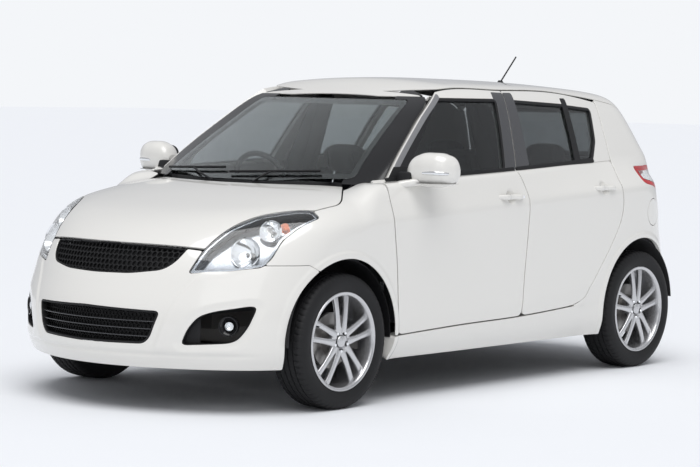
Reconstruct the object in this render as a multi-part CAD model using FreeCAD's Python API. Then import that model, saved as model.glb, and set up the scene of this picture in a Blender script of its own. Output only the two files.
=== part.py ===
import FreeCAD, Part
import math
import os

os.makedirs("parts", exist_ok=True)
V = FreeCAD.Vector

# A five-door hatchback, in millimetres. +X is forward, +Y is the car's left, +Z is up.
# The origin is on the ground, midway between the bumpers.

# Wheels and stance
front_axle_x = 1110.0
wheelbase = 2430.0
rear_axle_x = front_axle_x - wheelbase
track_half = 740.0
tyre_r = 305.0
tyre_width = 185.0
rim_seat_r = 212.0
rim_lip_r = 221.0
axle_z = tyre_r
arch_z = axle_z + 14.0
arch_r = 358.0

# Panels and the gaps between them
skin = 4.0
shut_gap = 6.0
seat_gap = 0.3
pane = 5.0
door_inner_y = 712.0
door_edge_set = 42.0
pillar_gap = 8.0
frame_depth = 34.0

# Hinges
front_hinge = (735.0, 818.0)
rear_hinge = (-322.0, 822.0)
hinge_heights = (455.0, 765.0)
hinge_eye_r = 11.0
hinge_pin_r = 6.0
hinge_play = 0.05
eye_height = 40.0
gate_hinge = (-1584.0, 1362.0)
gate_arm_y = 150.0
bonnet_hinge = (850.0, 952.0)
bonnet_lug_y = 553.0
leaf_half = 8.0
leaf_near = 0.5
leaf_far = 10.0


def curve(points):
    """A smooth curve through points, as a function, straight beyond its ends."""
    xs = [p[0] for p in points]
    ys = [p[1] for p in points]
    n = len(xs)
    h = [xs[i + 1] - xs[i] for i in range(n - 1)]
    d = [(ys[i + 1] - ys[i]) / h[i] for i in range(n - 1)]
    m = [0.0] * n
    for i in range(1, n - 1):
        m[i] = (d[i - 1] * h[i] + d[i] * h[i - 1]) / (h[i - 1] + h[i])
    m[0] = 1.5 * d[0] - 0.5 * m[1] if n > 2 else d[0]
    m[-1] = 1.5 * d[-1] - 0.5 * m[-2] if n > 2 else d[-1]

    def at(x):
        if x <= xs[0]:
            return ys[0] + m[0] * (x - xs[0])
        if x >= xs[-1]:
            return ys[-1] + m[-1] * (x - xs[-1])
        i = 0
        while x > xs[i + 1]:
            i += 1
        t = (x - xs[i]) / h[i]
        s = 1.0 - t
        low = ys[i] * (1 + 2 * t) * s * s + m[i] * h[i] * t * s * s
        return low + ys[i + 1] * t * t * (3 - 2 * t) - m[i + 1] * h[i] * t * t * s

    return at


def bend(x, width):
    """Zero below 0 and x above it, with a round corner of the given width."""
    t = x / width
    if t > 30:
        return x
    return width * math.log1p(math.exp(t))


def blend(a, b, radius):
    """The larger of two distances, with the corner between them rounded."""
    h = max(radius - abs(a - b), 0.0) / radius
    return max(a, b) + h * h * h * radius / 6.0


# Lines that give the body its shape, each as (station, value)
bonnet_line = curve([(700, 1018), (1000, 984), (1300, 925), (1550, 858), (1750, 782), (1900, 700)])
half_width = curve([(-1925, 770), (-1600, 812), (-1320, 840), (-900, 844), (-300, 847), (300, 845),
                    (780, 838), (1110, 842), (1400, 822), (1700, 770), (1900, 720)])
shoulder_line = curve([(-1700, 975), (-1100, 948), (-297, 902), (780, 843), (1300, 812)])
shoulder_lean = curve([(-1600, 1.0), (-1300, 0.97), (-1100, 0.86), (-700, 0.56), (-258, 0.36),
                       (780, 0.30), (1300, 0.30)])
nose_line = curve([(180, 1866), (240, 1903), (330, 1918), (450, 1912), (560, 1874), (650, 1837),
                   (740, 1790), (820, 1740)])
tail_line = curve([(290, -1868), (330, -1893), (420, -1909), (560, -1913), (640, -1897), (700, -1881),
                   (850, -1858), (1000, -1800)])
screen_line = curve([(950, 1035), (1100, 790), (1250, 520), (1385, 262), (1470, 60)])
roof_line = curve([(-1700, 1405), (-1400, 1450), (-1000, 1478), (-500, 1490), (-100, 1490), (250, 1470),
                   (450, 1425)])
glass_width = curve([(-1800, 690), (-1300, 745), (-800, 778), (-200, 792), (50, 778), (200, 762), (350, 748),
                     (528, 736), (708, 722), (900, 700)])
back_line = curve([(950, -1824), (1050, -1796), (1200, -1722), (1343, -1650), (1450, -1600)])
sill_top = 262.0


def side_y(x, z):
    """Half width of the body side: a shoulder crease above, a tucked sill below."""
    y = half_width(x)
    y -= shoulder_lean(x) * bend(z - shoulder_line(x), 9.0)
    y -= 0.000036 * max(700.0 - z, 0.0) ** 2
    y -= 0.55 * bend(sill_top - z, 18.0)
    return y


def bonnet_z(x, y):
    return bonnet_line(x) - 0.00006 * y * y - 5.4 * math.log1p(math.exp((abs(y) - 560.0) / 60.0))


def body(x, y, z):
    """Below zero inside the lower body, above zero outside it."""
    f = blend(z - bonnet_z(x, y), abs(y) - side_y(x, z), 170.0)
    f = blend(f, x - nose_line(z) + 0.00062 * y * y, 240.0)
    return blend(f, tail_line(z) + 0.00042 * y * y - x, 260.0)


def flank(x, y, z):
    """The lower body without its bonnet, for the doors and the quarter panels."""
    f = blend(abs(y) - side_y(x, z), x - nose_line(z) + 0.00062 * y * y, 240.0)
    return blend(f, tail_line(z) + 0.00042 * y * y - x, 260.0)


def screen_x(y, z):
    rise = min(max((z - 1000.0) / 400.0, 0.0), 1.0)
    return screen_line(z) - 0.00046 * y * y * (1.0 - 0.5 * rise)


def cabin(x, y, z):
    """Below zero inside the glasshouse, above zero outside it."""
    rise = max(z - 1000.0, 0.0)
    side = abs(y) - glass_width(x) + 0.40 * (z - 1000.0) + 0.00022 * rise * rise
    f = blend(z - roof_line(x) + 0.00011 * y * y, side, 110.0)
    f = blend(f, 0.5 * (x - screen_x(y, z)), 40.0)
    bow = 0.0003 + 0.00012 * min(max((1100.0 - z) / 130.0, 0.0), 1.0)
    return blend(f, 0.9 * (back_line(z) + bow * y * y - x), 150.0)


def cabin_side(x, y, z):
    """The glasshouse without its windscreen and rear window, for the door frames."""
    rise = max(z - 1000.0, 0.0)
    side = abs(y) - glass_width(x) + 0.40 * (z - 1000.0) + 0.00022 * rise * rise
    return blend(z - roof_line(x) + 0.00011 * y * y, side, 110.0)


def cast(form, start, step, reach):
    """Where a ray that comes in meets the form, or where it passes closest."""
    stride = reach / 36.0
    best = 0.0
    least = 1e9
    far = 0.0
    near = None
    for i in range(1, 37):
        p = start + step * (stride * i)
        f = form(p.x, p.y, p.z)
        if f < 0:
            near = stride * i
            break
        far = stride * i
        if f < least:
            least = f
            best = far
    if near is None:
        return start + step * best
    for _ in range(16):
        mid = 0.5 * (far + near)
        p = start + step * mid
        if form(p.x, p.y, p.z) > 0:
            far = mid
        else:
            near = mid
    return start + step * near


def spread(low, high, count):
    return [low + (high - low) * i / (count - 1) for i in range(count)]


def sheet(rows):
    surface = Part.BSplineSurface()
    surface.interpolate(rows)
    return surface


def from_side(form, xs, zs):
    """A face of the form seen from the left."""
    return [[cast(form, V(x, 1000, z), V(0, -1, 0), 950.0) for z in zs] for x in xs]


def from_top(form, xs, ys):
    return [[cast(form, V(x, y, 1700), V(0, 0, -1), 1300.0) for y in ys] for x in xs]


def from_front(form, ys, zs):
    return [[cast(form, V(2300, y, z), V(-1, 0, 0), 2300.0) for z in zs] for y in ys]


def from_back(form, ys, zs):
    return [[cast(form, V(-2300, y, z), V(1, 0, 0), 2000.0) for z in zs] for y in ys]


def around_post(form, x0, y0, angles, zs, inset):
    """A face of the form about an upright post, with a wall that far inside it."""
    rows = []
    for a in angles:
        out = V(math.cos(math.radians(a)), math.sin(math.radians(a)), 0)
        rows.append([cast(form, V(x0, y0, z) + out * 1500, out * -1, 1480.0) - out * inset for z in zs])
    return rows


def around_beam(form, y0, z0, xs, angles, inset):
    """A face of the form about a lengthwise beam, with a wall that far inside it."""
    rows = []
    for x in xs:
        row = []
        for a in angles:
            out = V(0, math.cos(math.radians(a)), math.sin(math.radians(a)))
            row.append(cast(form, V(x, y0, z0) + out * 900, out * -1, 880.0) - out * inset)
        rows.append(row)
    return rows


def pushed(rows, way):
    """The solid that a face sweeps when it is pushed along a way."""
    return sheet(rows).toShape().extrude(way)


def wall(outer, inner):
    """The solid between two faces that have the same grid."""
    a = sheet(outer)
    b = sheet(inner)
    faces = [a.toShape(), b.toShape()]
    for first, second in ((a.uIso(0), b.uIso(0)), (a.uIso(1), b.uIso(1)), (a.vIso(0), b.vIso(0)),
                          (a.vIso(1), b.vIso(1))):
        faces.append(Part.makeRuledSurface(first.toShape(), second.toShape()))
    shell = Part.makeShell(faces)
    shell.sewShape()
    solid = Part.makeSolid(shell)
    if solid.Volume < 0:
        solid.reverse()
    return solid


def box(x0, x1, y0, y1, z0, z1):
    return Part.makeBox(x1 - x0, y1 - y0, z1 - z0, V(x0, y0, z0))


def plate(points, normal, low, high):
    """A closed outline, given across the normal's axis, with the thickness from low to high."""
    if normal == "x":
        corners = [V(low, p[0], p[1]) for p in points]
        way = V(high - low, 0, 0)
    elif normal == "y":
        corners = [V(p[0], low, p[1]) for p in points]
        way = V(0, high - low, 0)
    else:
        corners = [V(p[0], p[1], low) for p in points]
        way = V(0, 0, high - low)
    return Part.Face(Part.makePolygon(corners + corners[:1])).extrude(way)


def cutter(runs, way_out, low, high):
    """A prism whose outline is several runs of points, joined end to end, across the way out."""
    corners = []
    for run in runs:
        for p in run:
            if not corners or (corners[-1] - V(p)).Length > 0.5:
                corners.append(V(p))
    face = Part.Face(Part.makePolygon(corners + corners[:1]))
    face.translate(way_out * low)
    return face.extrude(way_out * (high - low))


def rod(p, q, radius):
    way = V(q) - V(p)
    return Part.makeCylinder(radius, way.Length, V(p), way)


def pipe(points, radius):
    """Straight runs with a ball at each bend."""
    shape = None
    for p, q in zip(points[:-1], points[1:]):
        run = rod(p, q, radius)
        shape = run if shape is None else shape.fuse(run)
    for p in points[1:-1]:
        shape = shape.fuse(Part.makeSphere(radius + 0.4, V(p)))
    return shape


def ring(radius_out, radius_in, y0, y1, x, z):
    """A ring about a crosswise axis."""
    outer = Part.makeCylinder(radius_out, y1 - y0, V(x, y0, z), V(0, 1, 0))
    return outer.cut(Part.makeCylinder(radius_in, y1 - y0 + 20, V(x, y0 - 10, z), V(0, 1, 0)))


def fused(shapes):
    first = shapes[0]
    if len(shapes) > 1:
        first = first.fuse(shapes[1:])
    return first.removeSplitter()


def mirrored(shape):
    return shape.mirror(V(0, 0, 0), V(0, 1, 0))


def both_sides(shape):
    return Part.makeCompound([shape, mirrored(shape)])


def keep(name, shape):
    shape.exportStep("parts/" + name + ".step")


# Outlines of the doors, seen from the side, as height against station
door_front_x = curve([(300, 722), (365, 728), (500, 738), (637, 750), (844, 776), (1006, 781)])
door_split_x = curve([(330, -240), (513, -246), (757, -270), (880, -279), (953, -272), (1050, -240)])
door_rear_x = curve([(359, -691), (389, -779), (442, -830), (555, -933), (679, -1037), (770, -1098),
                     (857, -1122), (961, -1114), (1080, -1165)])
door_foot_z = curve([(-691, 359), (-238, 336), (264, 325), (646, 310)])
belt_z = curve([(-1150, 1084), (-856, 1074), (-112, 1041), (619, 1011), (781, 1004)])
roof_edge_z = curve([(-1250, 1385), (-952, 1426), (-406, 1438), (140, 1423), (244, 1399)])
frame_split_x = curve([(1041, -252), (1400, -386), (1440, -400)])
frame_front_x = curve([(1000, 712), (1050, 655), (1100, 595), (1150, 530), (1200, 461), (1250, 390),
                       (1300, 318), (1350, 240), (1398, 165)])
frame_rear_x = curve([(1080, -1172), (1239, -1212), (1385, -1252)])


left = V(0, 1, 0)
half_gap = shut_gap / 2.0
frame_leaf = 6.0
glass_set = 8.0


def side_run(line, zs, shift):
    """An upright edge of a side panel, moved along the car."""
    return [(line(z) + shift, 0, z) for z in zs]


def level_run(line, xs, shift):
    return [(x, 0, line(x) + shift) for x in xs]


def from_way(form, centre, out, us, vs, inset=0.0):
    """A face of the form seen from any way out, over a level and a rising direction."""
    across = V(0, 0, 1).cross(out).normalize()
    up = out.cross(across)
    rows = []
    for u in us:
        row = []
        for v in vs:
            foot = centre + across * u + up * v
            row.append(cast(form, foot + out * 500, out * -1, 1000.0) - out * inset)
        rows.append(row)
    return rows


def around_cross(form, x0, z0, ys, angles, inset):
    """A face of the form about a crosswise beam, from low behind up to the roof."""
    rows = []
    for y in ys:
        row = []
        for a in angles:
            out = V(-math.cos(math.radians(a)), 0, math.sin(math.radians(a)))
            row.append(cast(form, V(x0, y, z0) + out * 900, out * -1, 880.0) - out * inset)
        rows.append(row)
    return rows


# Seams between the bonnet, the headlamps, the wings and the bumper
bonnet_front_x = curve([(-480, 1646), (-380, 1688), (0, 1757), (380, 1688), (480, 1646)])
bonnet_rear_x = curve([(-575, 838), (-300, 960), (0, 1004), (300, 960), (575, 838)])
bonnet_side = [(1646, 474), (1534, 514), (1397, 579), (1262, 680), (1215, 728)]
bonnet_flank = [(1215, 728), (1140, 741), (1070, 743), (1018, 718)]
lamp_inner = [(1725, 445, 613), (1646, 474, 725), (1534, 514, 811), (1397, 579, 867), (1262, 680, 891),
              (1222, 722, 888)]
lamp_outer = [(1230, 775, 859), (1348, 748, 813), (1421, 728, 766), (1488, 722, 690), (1524, 698, 646),
              (1620, 597, 627)]
lamp_out = V(0.62, 0.45, 0.64).normalize()
lamp_depth = 70.0


def bonnet_cutter(grow, low, high):
    """The bonnet's outline from above, grown by a gap all round."""
    ys = [-474, -300, -100, 100, 300, 474]
    front = [(bonnet_front_x(y) + grow, y, 0) for y in ys]
    rear = [(bonnet_rear_x(y) - grow, y, 0) for y in [575, 350, 0, -350, -575]]
    side = [(x + 0.75 * grow, y + 0.75 * grow, 0) for x, y in bonnet_side]
    flank_run = [(x, y + grow, 0) for x, y in bonnet_flank]
    corner = [flank_run[-1], (rear[0][0], 575 + grow, 0)]
    swap = [[(x, -y, z) for x, y, z in run[::-1]] for run in (corner, flank_run, side)]
    return cutter([front, side, flank_run, corner, rear] + swap, V(0, 0, 1), low, high)


def lamp_cutter(grow):
    """The headlamp's outline, seen along the way that it faces."""
    middle = V(1440, 620, 770)
    runs = []
    for line in (lamp_inner, lamp_outer):
        run = []
        for p in line:
            off = V(p) - middle
            off -= lamp_out * off.dot(lamp_out)
            run.append(tuple(middle + off * (1.0 + grow / off.Length)))
        runs.append(run)
    return cutter(runs, lamp_out, -400, 400)


# Doors
low_zs = [285, 330, 380, 430, 490, 560, 630, 700, 760, 810, 850, 885, 915, 945, 975, 1005, 1035, 1065]
high_vs = [0, 0.17, 0.4, 0.62, 0.8, 0.9, 0.96, 1.0]
front_rows = from_side(flank, spread(-330, 830, 11), low_zs)
rear_rows = from_side(flank, spread(-1210, -200, 11), low_zs)


def frame_face(x_low, x_high, top, count):
    """The glasshouse side between two uprights, from under the belt to the roof's edge."""
    rows = []
    for u in spread(0.0, 1.0, count):
        row = []
        for v in high_vs:
            z = 960.0 + (top - 960.0) * v
            x = x_low(z) + (x_high(z) - x_low(z)) * u
            row.append(V(x, 1000, 960.0 + (roof_edge_z(x) + 5.0 - 960.0) * v))
        rows.append([cast(cabin_side, p, V(0, -1, 0), 950.0) for p in row])
    return rows


front_high = frame_face(lambda z: frame_split_x(z) - 12, lambda z: frame_front_x(z) + 10, 1402.0, 9)
rear_high = frame_face(lambda z: frame_rear_x(z) - 12, lambda z: frame_split_x(z) + 12, 1440.0, 9)


def front_door_low(front, rear, foot):
    front_line = side_run(door_front_x, [392 + foot, 500, 637, 844, 1000], -front)
    split_line = side_run(door_split_x, [1040, 953, 880, 757, 513, 345 + foot], rear)
    foot_line = level_run(door_foot_z, spread(-235 + rear, 640 - front, 4), half_gap + foot)
    return cutter([front_line, split_line, foot_line], left, 500, 1000)


def rear_door_low(front, rear, foot):
    front_line = side_run(door_split_x, [345 + foot, 513, 757, 880, 953, 1040], -front)
    rear_line = side_run(door_rear_x, [1080, 961, 857, 770, 679, 555, 442 + foot], rear)
    foot_line = level_run(door_foot_z, spread(-730 + rear, -245 - front, 4), half_gap + foot)
    return cutter([front_line, rear_line, foot_line], left, 500, 1000)


def front_frame(front, rear, top):
    front_line = side_run(frame_front_x, [985, 1050, 1100, 1150, 1200, 1250, 1300, 1350, 1394], -front)
    top_line = level_run(roof_edge_z, [150, 60, -60, -200, -380], -top)
    split_line = side_run(frame_split_x, [1420, 1385, 1200, 985], rear)
    return cutter([front_line, top_line, split_line], left, 400, 1000)


def rear_frame(front, rear, top):
    front_line = side_run(frame_split_x, [985, 1200, 1385, 1420], -front)
    top_line = level_run(roof_edge_z, [-405, -600, -900, -1225], -top)
    rear_line = side_run(frame_rear_x, [1370, 1239, 1080, 1000], rear)
    return cutter([front_line, top_line, rear_line], left, 400, 1000)


def opening(outline, rows):
    """The space that a door's window frame needs in the body."""
    layer = pushed(moved(rows, V(0, 90, 0)), V(0, -90 - frame_depth - pillar_gap, 0))
    return outline(-half_gap, -half_gap, -half_gap).common(layer)


def drawn_in(corners, gap):
    """A polygon with each side moved inwards by a gap."""
    n = len(corners)
    area = sum(corners[i - 1][0] * corners[i][1] - corners[i][0] * corners[i - 1][1] for i in range(n))
    turn = 1.0 if area > 0 else -1.0
    sides = []
    for i in range(n):
        (ax, ay), (bx, by) = corners[i - 1], corners[i]
        size = math.hypot(bx - ax, by - ay)
        nx, ny = -(by - ay) / size * turn, (bx - ax) / size * turn
        sides.append((ax + nx * gap, ay + ny * gap, (bx - ax) / size, (by - ay) / size))
    inner = []
    for i in range(n):
        px, py, ux, uy = sides[i]
        qx, qy, vx, vy = sides[(i + 1) % n]
        t = ((qx - px) * vy - (qy - py) * vx) / (ux * vy - uy * vx)
        inner.append((px + ux * t, py + uy * t))
    return inner


def pane_outline(corners, shrink):
    """A window outline with straight sides, drawn in by a gap."""
    return plate(drawn_in(corners, shrink), "y", 400, 900)


front_window = [(146, 1385), (508, 1081), (516, 1024), (-160, 1050), (-295, 1384)]
rear_window_side = [(-447, 1380), (-360, 1057), (-822, 1083), (-903, 1362)]
quarter_window = [(-930, 1357), (-858, 1090), (-990, 1096), (-1077, 1188), (-1151, 1342)]
sill_lift = 45.0
post_y = door_inner_y - pillar_gap


def hinge_eye(x, y, z, face_x):
    """The door's half of a hinge: an eye about the pin and the arm that carries it."""
    eye = Part.makeCylinder(hinge_eye_r, eye_height, V(x, y, z - eye_height / 2))
    arm = box(face_x - 5, x, y - 6, y + 6, z - eye_height / 2, z + eye_height / 2)
    pin_hole = Part.makeCylinder(hinge_pin_r + hinge_play, eye_height + 20, V(x, y, z - eye_height / 2 - 10))
    return eye.fuse(arm).cut(pin_hole)


def hinge_pin(x, y, z):
    """The pillar's half of a hinge: a pin between two leaves that stand out from the pillar."""
    parts = [Part.makeCylinder(hinge_pin_r, eye_height + 2 * leaf_far, V(x, y, z - eye_height / 2 - leaf_far))]
    for low in (z - eye_height / 2 - leaf_far, z + eye_height / 2 + leaf_near):
        parts.append(Part.makeCylinder(leaf_half, leaf_far - leaf_near, V(x, y, low)))
        parts.append(box(x - leaf_half, x + leaf_half, post_y - 2, y, low, low + leaf_far - leaf_near))
    return fused(parts)


def moved(rows, shift):
    return [[p + shift for p in row] for row in rows]


def stepped(rows, outline, inner_outline, leaf, depth):
    """A panel of full depth whose rim, outside the inner outline, is only a thin leaf."""
    panel = pushed(rows, V(0, -depth, 0)).common(outline)
    rim = pushed(moved(rows, V(0, -leaf, 0)), V(0, -depth - 20, 0)).cut(inner_outline)
    return panel.cut(rim)


def door(rows, low_outline, frame_rows, frame_outline, windows, hinge, x_rear):
    """A door: thin skin out to the shut lines, the deep box behind it, and the window frame."""
    face_x = hinge[0] - 32
    deep = low_outline(half_gap, door_edge_set, sill_lift).common(box(x_rear, face_x, 0, 1000, 300, 1100))
    low = stepped(rows, low_outline(half_gap, half_gap, 0), deep, skin, 300.0)
    low = low.common(box(x_rear, 900, door_inner_y, 900, 200, 1100))
    frame = stepped(frame_rows, frame_outline(half_gap, half_gap, half_gap), frame_outline(20, 30, 16),
                    frame_leaf, frame_depth)
    for window in windows:
        frame = frame.cut(pane_outline(window, 0))
    eyes = [hinge_eye(hinge[0], hinge[1], z, face_x) for z in hinge_heights]
    shape = low.fuse([frame] + eyes)
    return shape


front_door = door(front_rows, front_door_low, front_high, front_frame, [front_window], front_hinge, -400)
rear_door = door(rear_rows, rear_door_low, rear_high, rear_frame, [rear_window_side, quarter_window],
                 rear_hinge, -1300)


def panes(frame_rows, windows):
    layer = sheet(frame_rows).toShape()
    layer.translate(V(0, -glass_set, 0))
    layer = layer.extrude(V(0, -pane, 0))
    return [layer.common(pane_outline(window, seat_gap)) for window in windows]


front_glass = panes(front_high, [front_window])[0]
rear_glass = Part.makeCompound(panes(rear_high, [rear_window_side, quarter_window]))


# Door mirrors
def mirror_housing():
    """Rounded sections outwards from the foot, with a flat back for the mirror glass."""
    wires = []
    for y, x, z, rx, rz in ((760, 566, 1050, 30, 26), (782, 562, 1057, 52, 54), (830, 556, 1064, 66, 76),
                            (890, 550, 1066, 70, 80), (945, 540, 1065, 66, 74), (978, 528, 1062, 50, 56),
                            (992, 518, 1060, 26, 32)):
        ellipse = Part.Ellipse(V(x, y, z), rz, rx) if rz >= rx else Part.Ellipse(V(x, y, z), rx, rz)
        edge = ellipse.toShape()
        edge.rotate(V(x, y, z), V(1, 0, 0), 90)
        if rz >= rx:
            edge.rotate(V(x, y, z), V(0, 1, 0), 90)
        wires.append(Part.Wire([edge]))
    housing = Part.makeLoft(wires, True)
    return housing.cut(box(400, 486, 700, 1000, 900, 1200))


mirror_foot = plate([(640, 1000), (560, 1000), (560, 1040), (620, 1052)], "y", 770, 812)
mirror = fused([mirror_housing(), mirror_foot]).cut(front_door).cut(pushed(front_high, V(0, -60, 0)))

for side_name, place in (("left", lambda s: s), ("right", mirrored)):
    keep("front_door_" + side_name, place(front_door))
    keep("rear_door_" + side_name, place(rear_door))
    keep("front_glass_" + side_name, place(front_glass))
    keep("rear_glass_" + side_name, place(rear_glass))
    keep("mirror_" + side_name, place(mirror))

def between(form, x_low, x_high, ys, count):
    """A face seen from above whose ends follow two lines across the car."""
    rows = []
    for u in spread(0.0, 1.0, count):
        rows.append([cast(form, V(x_low(y) + (x_high(y) - x_low(y)) * u, y, 1700), V(0, 0, -1), 1300.0)
                     for y in ys])
    return rows


def screen_edge_y(z):
    return 603.0 - 132.0 * (z - 980.0) / 400.0


# Roof and windscreen
roof_rear_x = -1554.0
roof_half = curve([(-1554, 546), (-1100, 544), (-952, 542), (-404, 555), (107, 551), (200, 556)])
roof_skin = 5.0
bow_depth = 22.0
screen_foot_z = 996.0
screen_head_z = 1384.0
roof_shares = [-1, -0.91, -0.73, -0.45, -0.15, 0.15, 0.45, 0.73, 0.91, 1]
bow_ys = [-500, -400, -250, -80, 80, 250, 400, 500]
roof_rows = []
for u in spread(0.0, 1.0, 11):
    row = []
    for share in roof_shares:
        x = roof_rear_x + (screen_x(550.0 * share, 1398.0) - 4.0 - roof_rear_x) * u
        row.append(cast(cabin, V(x, roof_half(x) * share, 1700), V(0, 0, -1), 1300.0))
    roof_rows.append(row)
front_opening = opening(front_frame, front_high)
rear_opening = opening(rear_frame, rear_high)
roof = pushed(roof_rows, V(0, 0, -roof_skin))
roof = roof.cut([front_opening, rear_opening, mirrored(front_opening), mirrored(rear_opening)])
bow_rows = between(cabin, lambda y: roof_rear_x + 30, lambda y: screen_x(y, 1398.0) - 40.0, bow_ys, 9)
bow_layer = pushed(moved(bow_rows, V(0, 0, -roof_skin)), V(0, 0, -bow_depth))
bows = bow_layer.cut(box(-1480, 130, -460, 460, 1300, 1500))
bows = fused([bows, bow_layer.common(box(-360, -300, -470, 470, 1300, 1500))])
roof_space = pushed(moved(roof_rows, V(0, 0, 60)), V(0, 0, -60 - roof_skin - seat_gap))
bow_space = pushed(moved(bow_rows, V(0, 0, 60)), V(0, 0, -60 - roof_skin - bow_depth - seat_gap))
screen_rows = []
for u in spread(-1.0, 1.0, 9):
    screen_rows.append([cast(cabin, V(2300, u * (screen_edge_y(z) + 6), z), V(-1, 0, 0), 2300.0)
                        for z in spread(screen_foot_z - 8, screen_head_z + 8, 8)])
screen_corner_z = screen_foot_z + 20
screen_half = [(250, screen_foot_z), (380, screen_foot_z + 14), (screen_edge_y(screen_corner_z), screen_corner_z),
               (screen_edge_y(screen_head_z), screen_head_z)]
screen_outline = screen_half + [(-y, z) for y, z in screen_half[::-1]]
windscreen = pushed(screen_rows, V(-9, 0, 0)).common(plate(drawn_in(screen_outline, seat_gap), "x", -400, 1200))

# Windscreen pillar, from the cowl to the roof's front corner
pillar_foot = V(748, 662, 985)
pillar_head = V(178, 515, 1395)
pillar_out = V(0.74, 0.56, 0.38).normalize()
pillar_depth = 58.0
pillar_way = (pillar_head - pillar_foot).normalize()
pillar_across = pillar_out.cross(pillar_way).normalize()
pillar_rows = []
for s in spread(-0.04, 1.04, 9):
    foot = pillar_foot + (pillar_head - pillar_foot) * s
    pillar_rows.append([cast(cabin, foot + pillar_across * t + pillar_out * 400, pillar_out * -1, 900.0)
                        for t in spread(-120, 120, 7)])
front_pillar = pushed(pillar_rows, pillar_out * -pillar_depth)
front_space = front_door_low(-half_gap, -half_gap, -half_gap).common(box(0, 900, post_y, 1000, 200, 1100))
front_pillar = front_pillar.cut([front_opening, front_space]).cut(plate(screen_outline, "x", -600, 1400))
front_pillar = front_pillar.common(box(110, 900, 300, 900, 996, 1405)).cut(roof_space).cut(bow_space)

# Sill, hinge pillar and centre pillar
sill_in_y = 640.0
sill_rows = from_side(flank, spread(-990, 800, 9), [190, 215, 240, 262, 285, 330, 370])
sill_top_run = level_run(door_foot_z, [640, 264, -238, -700], -half_gap)
sill_outline = cutter([sill_top_run, [(-1000, 0, 352), (-1000, 0, 194), (762, 0, 194), (762, 0, 300)]], left, 500, 1000)
sill = pushed(sill_rows, V(0, -400, 0)).common(sill_outline).common(box(-1000, 800, sill_in_y, 1000, 150, 400))
wheel_front = Part.makeCylinder(arch_r, 500, V(front_axle_x, 600, arch_z), V(0, 1, 0))
wheel_rear = Part.makeCylinder(arch_r + 4, 500, V(rear_axle_x, 600, arch_z), V(0, 1, 0))
sill = sill.cut(wheel_front).cut(wheel_rear)
hinge_post = fused([box(700, 792, sill_in_y, post_y, 290, 940), box(650, 728, sill_in_y, 676, 930, 1015)])
hinge_post = hinge_post.cut(wheel_front)
door_pins = [hinge_pin(front_hinge[0], front_hinge[1], z) for z in hinge_heights]
door_pins += [hinge_pin(rear_hinge[0], rear_hinge[1], z) for z in hinge_heights]
centre_post = plate([(sill_in_y, 290), (post_y, 290), (post_y, 1030), (540, 1360), (505, 1400),
                     (505, 1460), (465, 1460), (465, 1380), (sill_in_y, 1000)], "x", -345, -225).cut(bow_space).cut(roof_space)

# Quarter panel and rear pillar
quarter_zs = [345, 400, 460, 530, 600, 670, 740, 800, 850, 895, 930, 960, 990, 1020, 1055, 1090]
quarter_rows = around_post(flank, -1000, 250, [58, 66, 78, 92, 106, 120, 132, 143, 153, 163, 172, 178],
                           quarter_zs, 0)
quarter_inner = around_post(flank, -1000, 250, [58, 66, 78, 92, 106, 120, 132, 143, 153, 163, 172, 178],
                            quarter_zs, 26)
quarter = wall(quarter_rows, quarter_inner)
ahead = side_run(door_rear_x, [340, 389, 442, 555, 679, 770, 857, 961, 1080], -half_gap)
ahead = cutter([ahead, [(-1176, 0, 1110), (0, 0, 1110), (0, 0, 340)]], left, 400, 1000)
tailgate_half = 566.0
bumper_seam = [(-1560, 520), (-1640, 600), (-1700, 648), (-1960, 648), (-1960, 300), (-1500, 300)]
rear_space = rear_door_low(-half_gap, -half_gap, -half_gap).fuse(rear_frame(-half_gap, -half_gap, -half_gap))
quarter = quarter.cut(ahead).cut(rear_space).cut(wheel_rear).cut(plate(bumper_seam, "y", 200, 1000))
quarter = quarter.cut(box(-2000, -1500, 0, tailgate_half, 0, 1500)).common(box(-2000, -600, 300, 1000, 353, 1088))
tail_lamp_outline = [(-1340, 1054), (-1336, 968), (-1480, 944), (-1600, 884), (-1690, 806), (-1750, 790),
                     (-1960, 800), (-1960, 1054)]
tail_lamp_box = plate(tail_lamp_outline, "y", tailgate_half - 1, 1000)
tail_lamp = wall(quarter_rows, quarter_inner).common(plate(drawn_in(tail_lamp_outline, seat_gap), "y", tailgate_half, 1000))
quarter = quarter.cut(tail_lamp_box)
high_angles = [84, 96, 108, 120, 132, 144, 156, 168, 178]
high_zs = [1072, 1120, 1180, 1250, 1320, 1370, 1405]
rear_pillar = wall(around_post(cabin, -1100, 150, high_angles, high_zs, 0),
                   around_post(cabin, -1100, 150, high_angles, high_zs, 40))
ahead_high = side_run(frame_rear_x, [1050, 1080, 1239, 1385, 1460], -half_gap)
ahead_high = cutter([ahead_high, [(-500, 0, 1460), (-500, 0, 1050)]], left, 300, 1000)
gate_side = [(0, 1040), (tailgate_half, 1040), (tailgate_half, 1080), (500, 1460), (0, 1460)]
rear_pillar = rear_pillar.cut(ahead_high).cut(plate(gate_side, "x", -2000, -1560))
rear_pillar = rear_pillar.cut(roof_space).cut(rear_space).cut(box(-1600, -1000, 0, 500, 1000, 1500))
gate_arm = fused([box(gate_hinge[0] - 8, gate_hinge[0] + 8, gate_arm_y, gate_arm_y + 10, gate_hinge[1] - 68, gate_hinge[1]),
                  box(gate_hinge[0] - 8, -1500, gate_arm_y, gate_arm_y + 10, gate_hinge[1] - 68, gate_hinge[1] - 52),
                  box(-1516, -1500, gate_arm_y, gate_arm_y + 10, gate_hinge[1] - 68, 1416),
                  rod((gate_hinge[0], gate_arm_y, gate_hinge[1]), (gate_hinge[0], gate_arm_y + 10, gate_hinge[1]), 8),
                  rod((gate_hinge[0], gate_arm_y, gate_hinge[1]), (gate_hinge[0], gate_arm_y + 24, gate_hinge[1]), hinge_pin_r)])
roof_panel = roof.fuse([bows, gate_arm, mirrored(gate_arm)])
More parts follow.
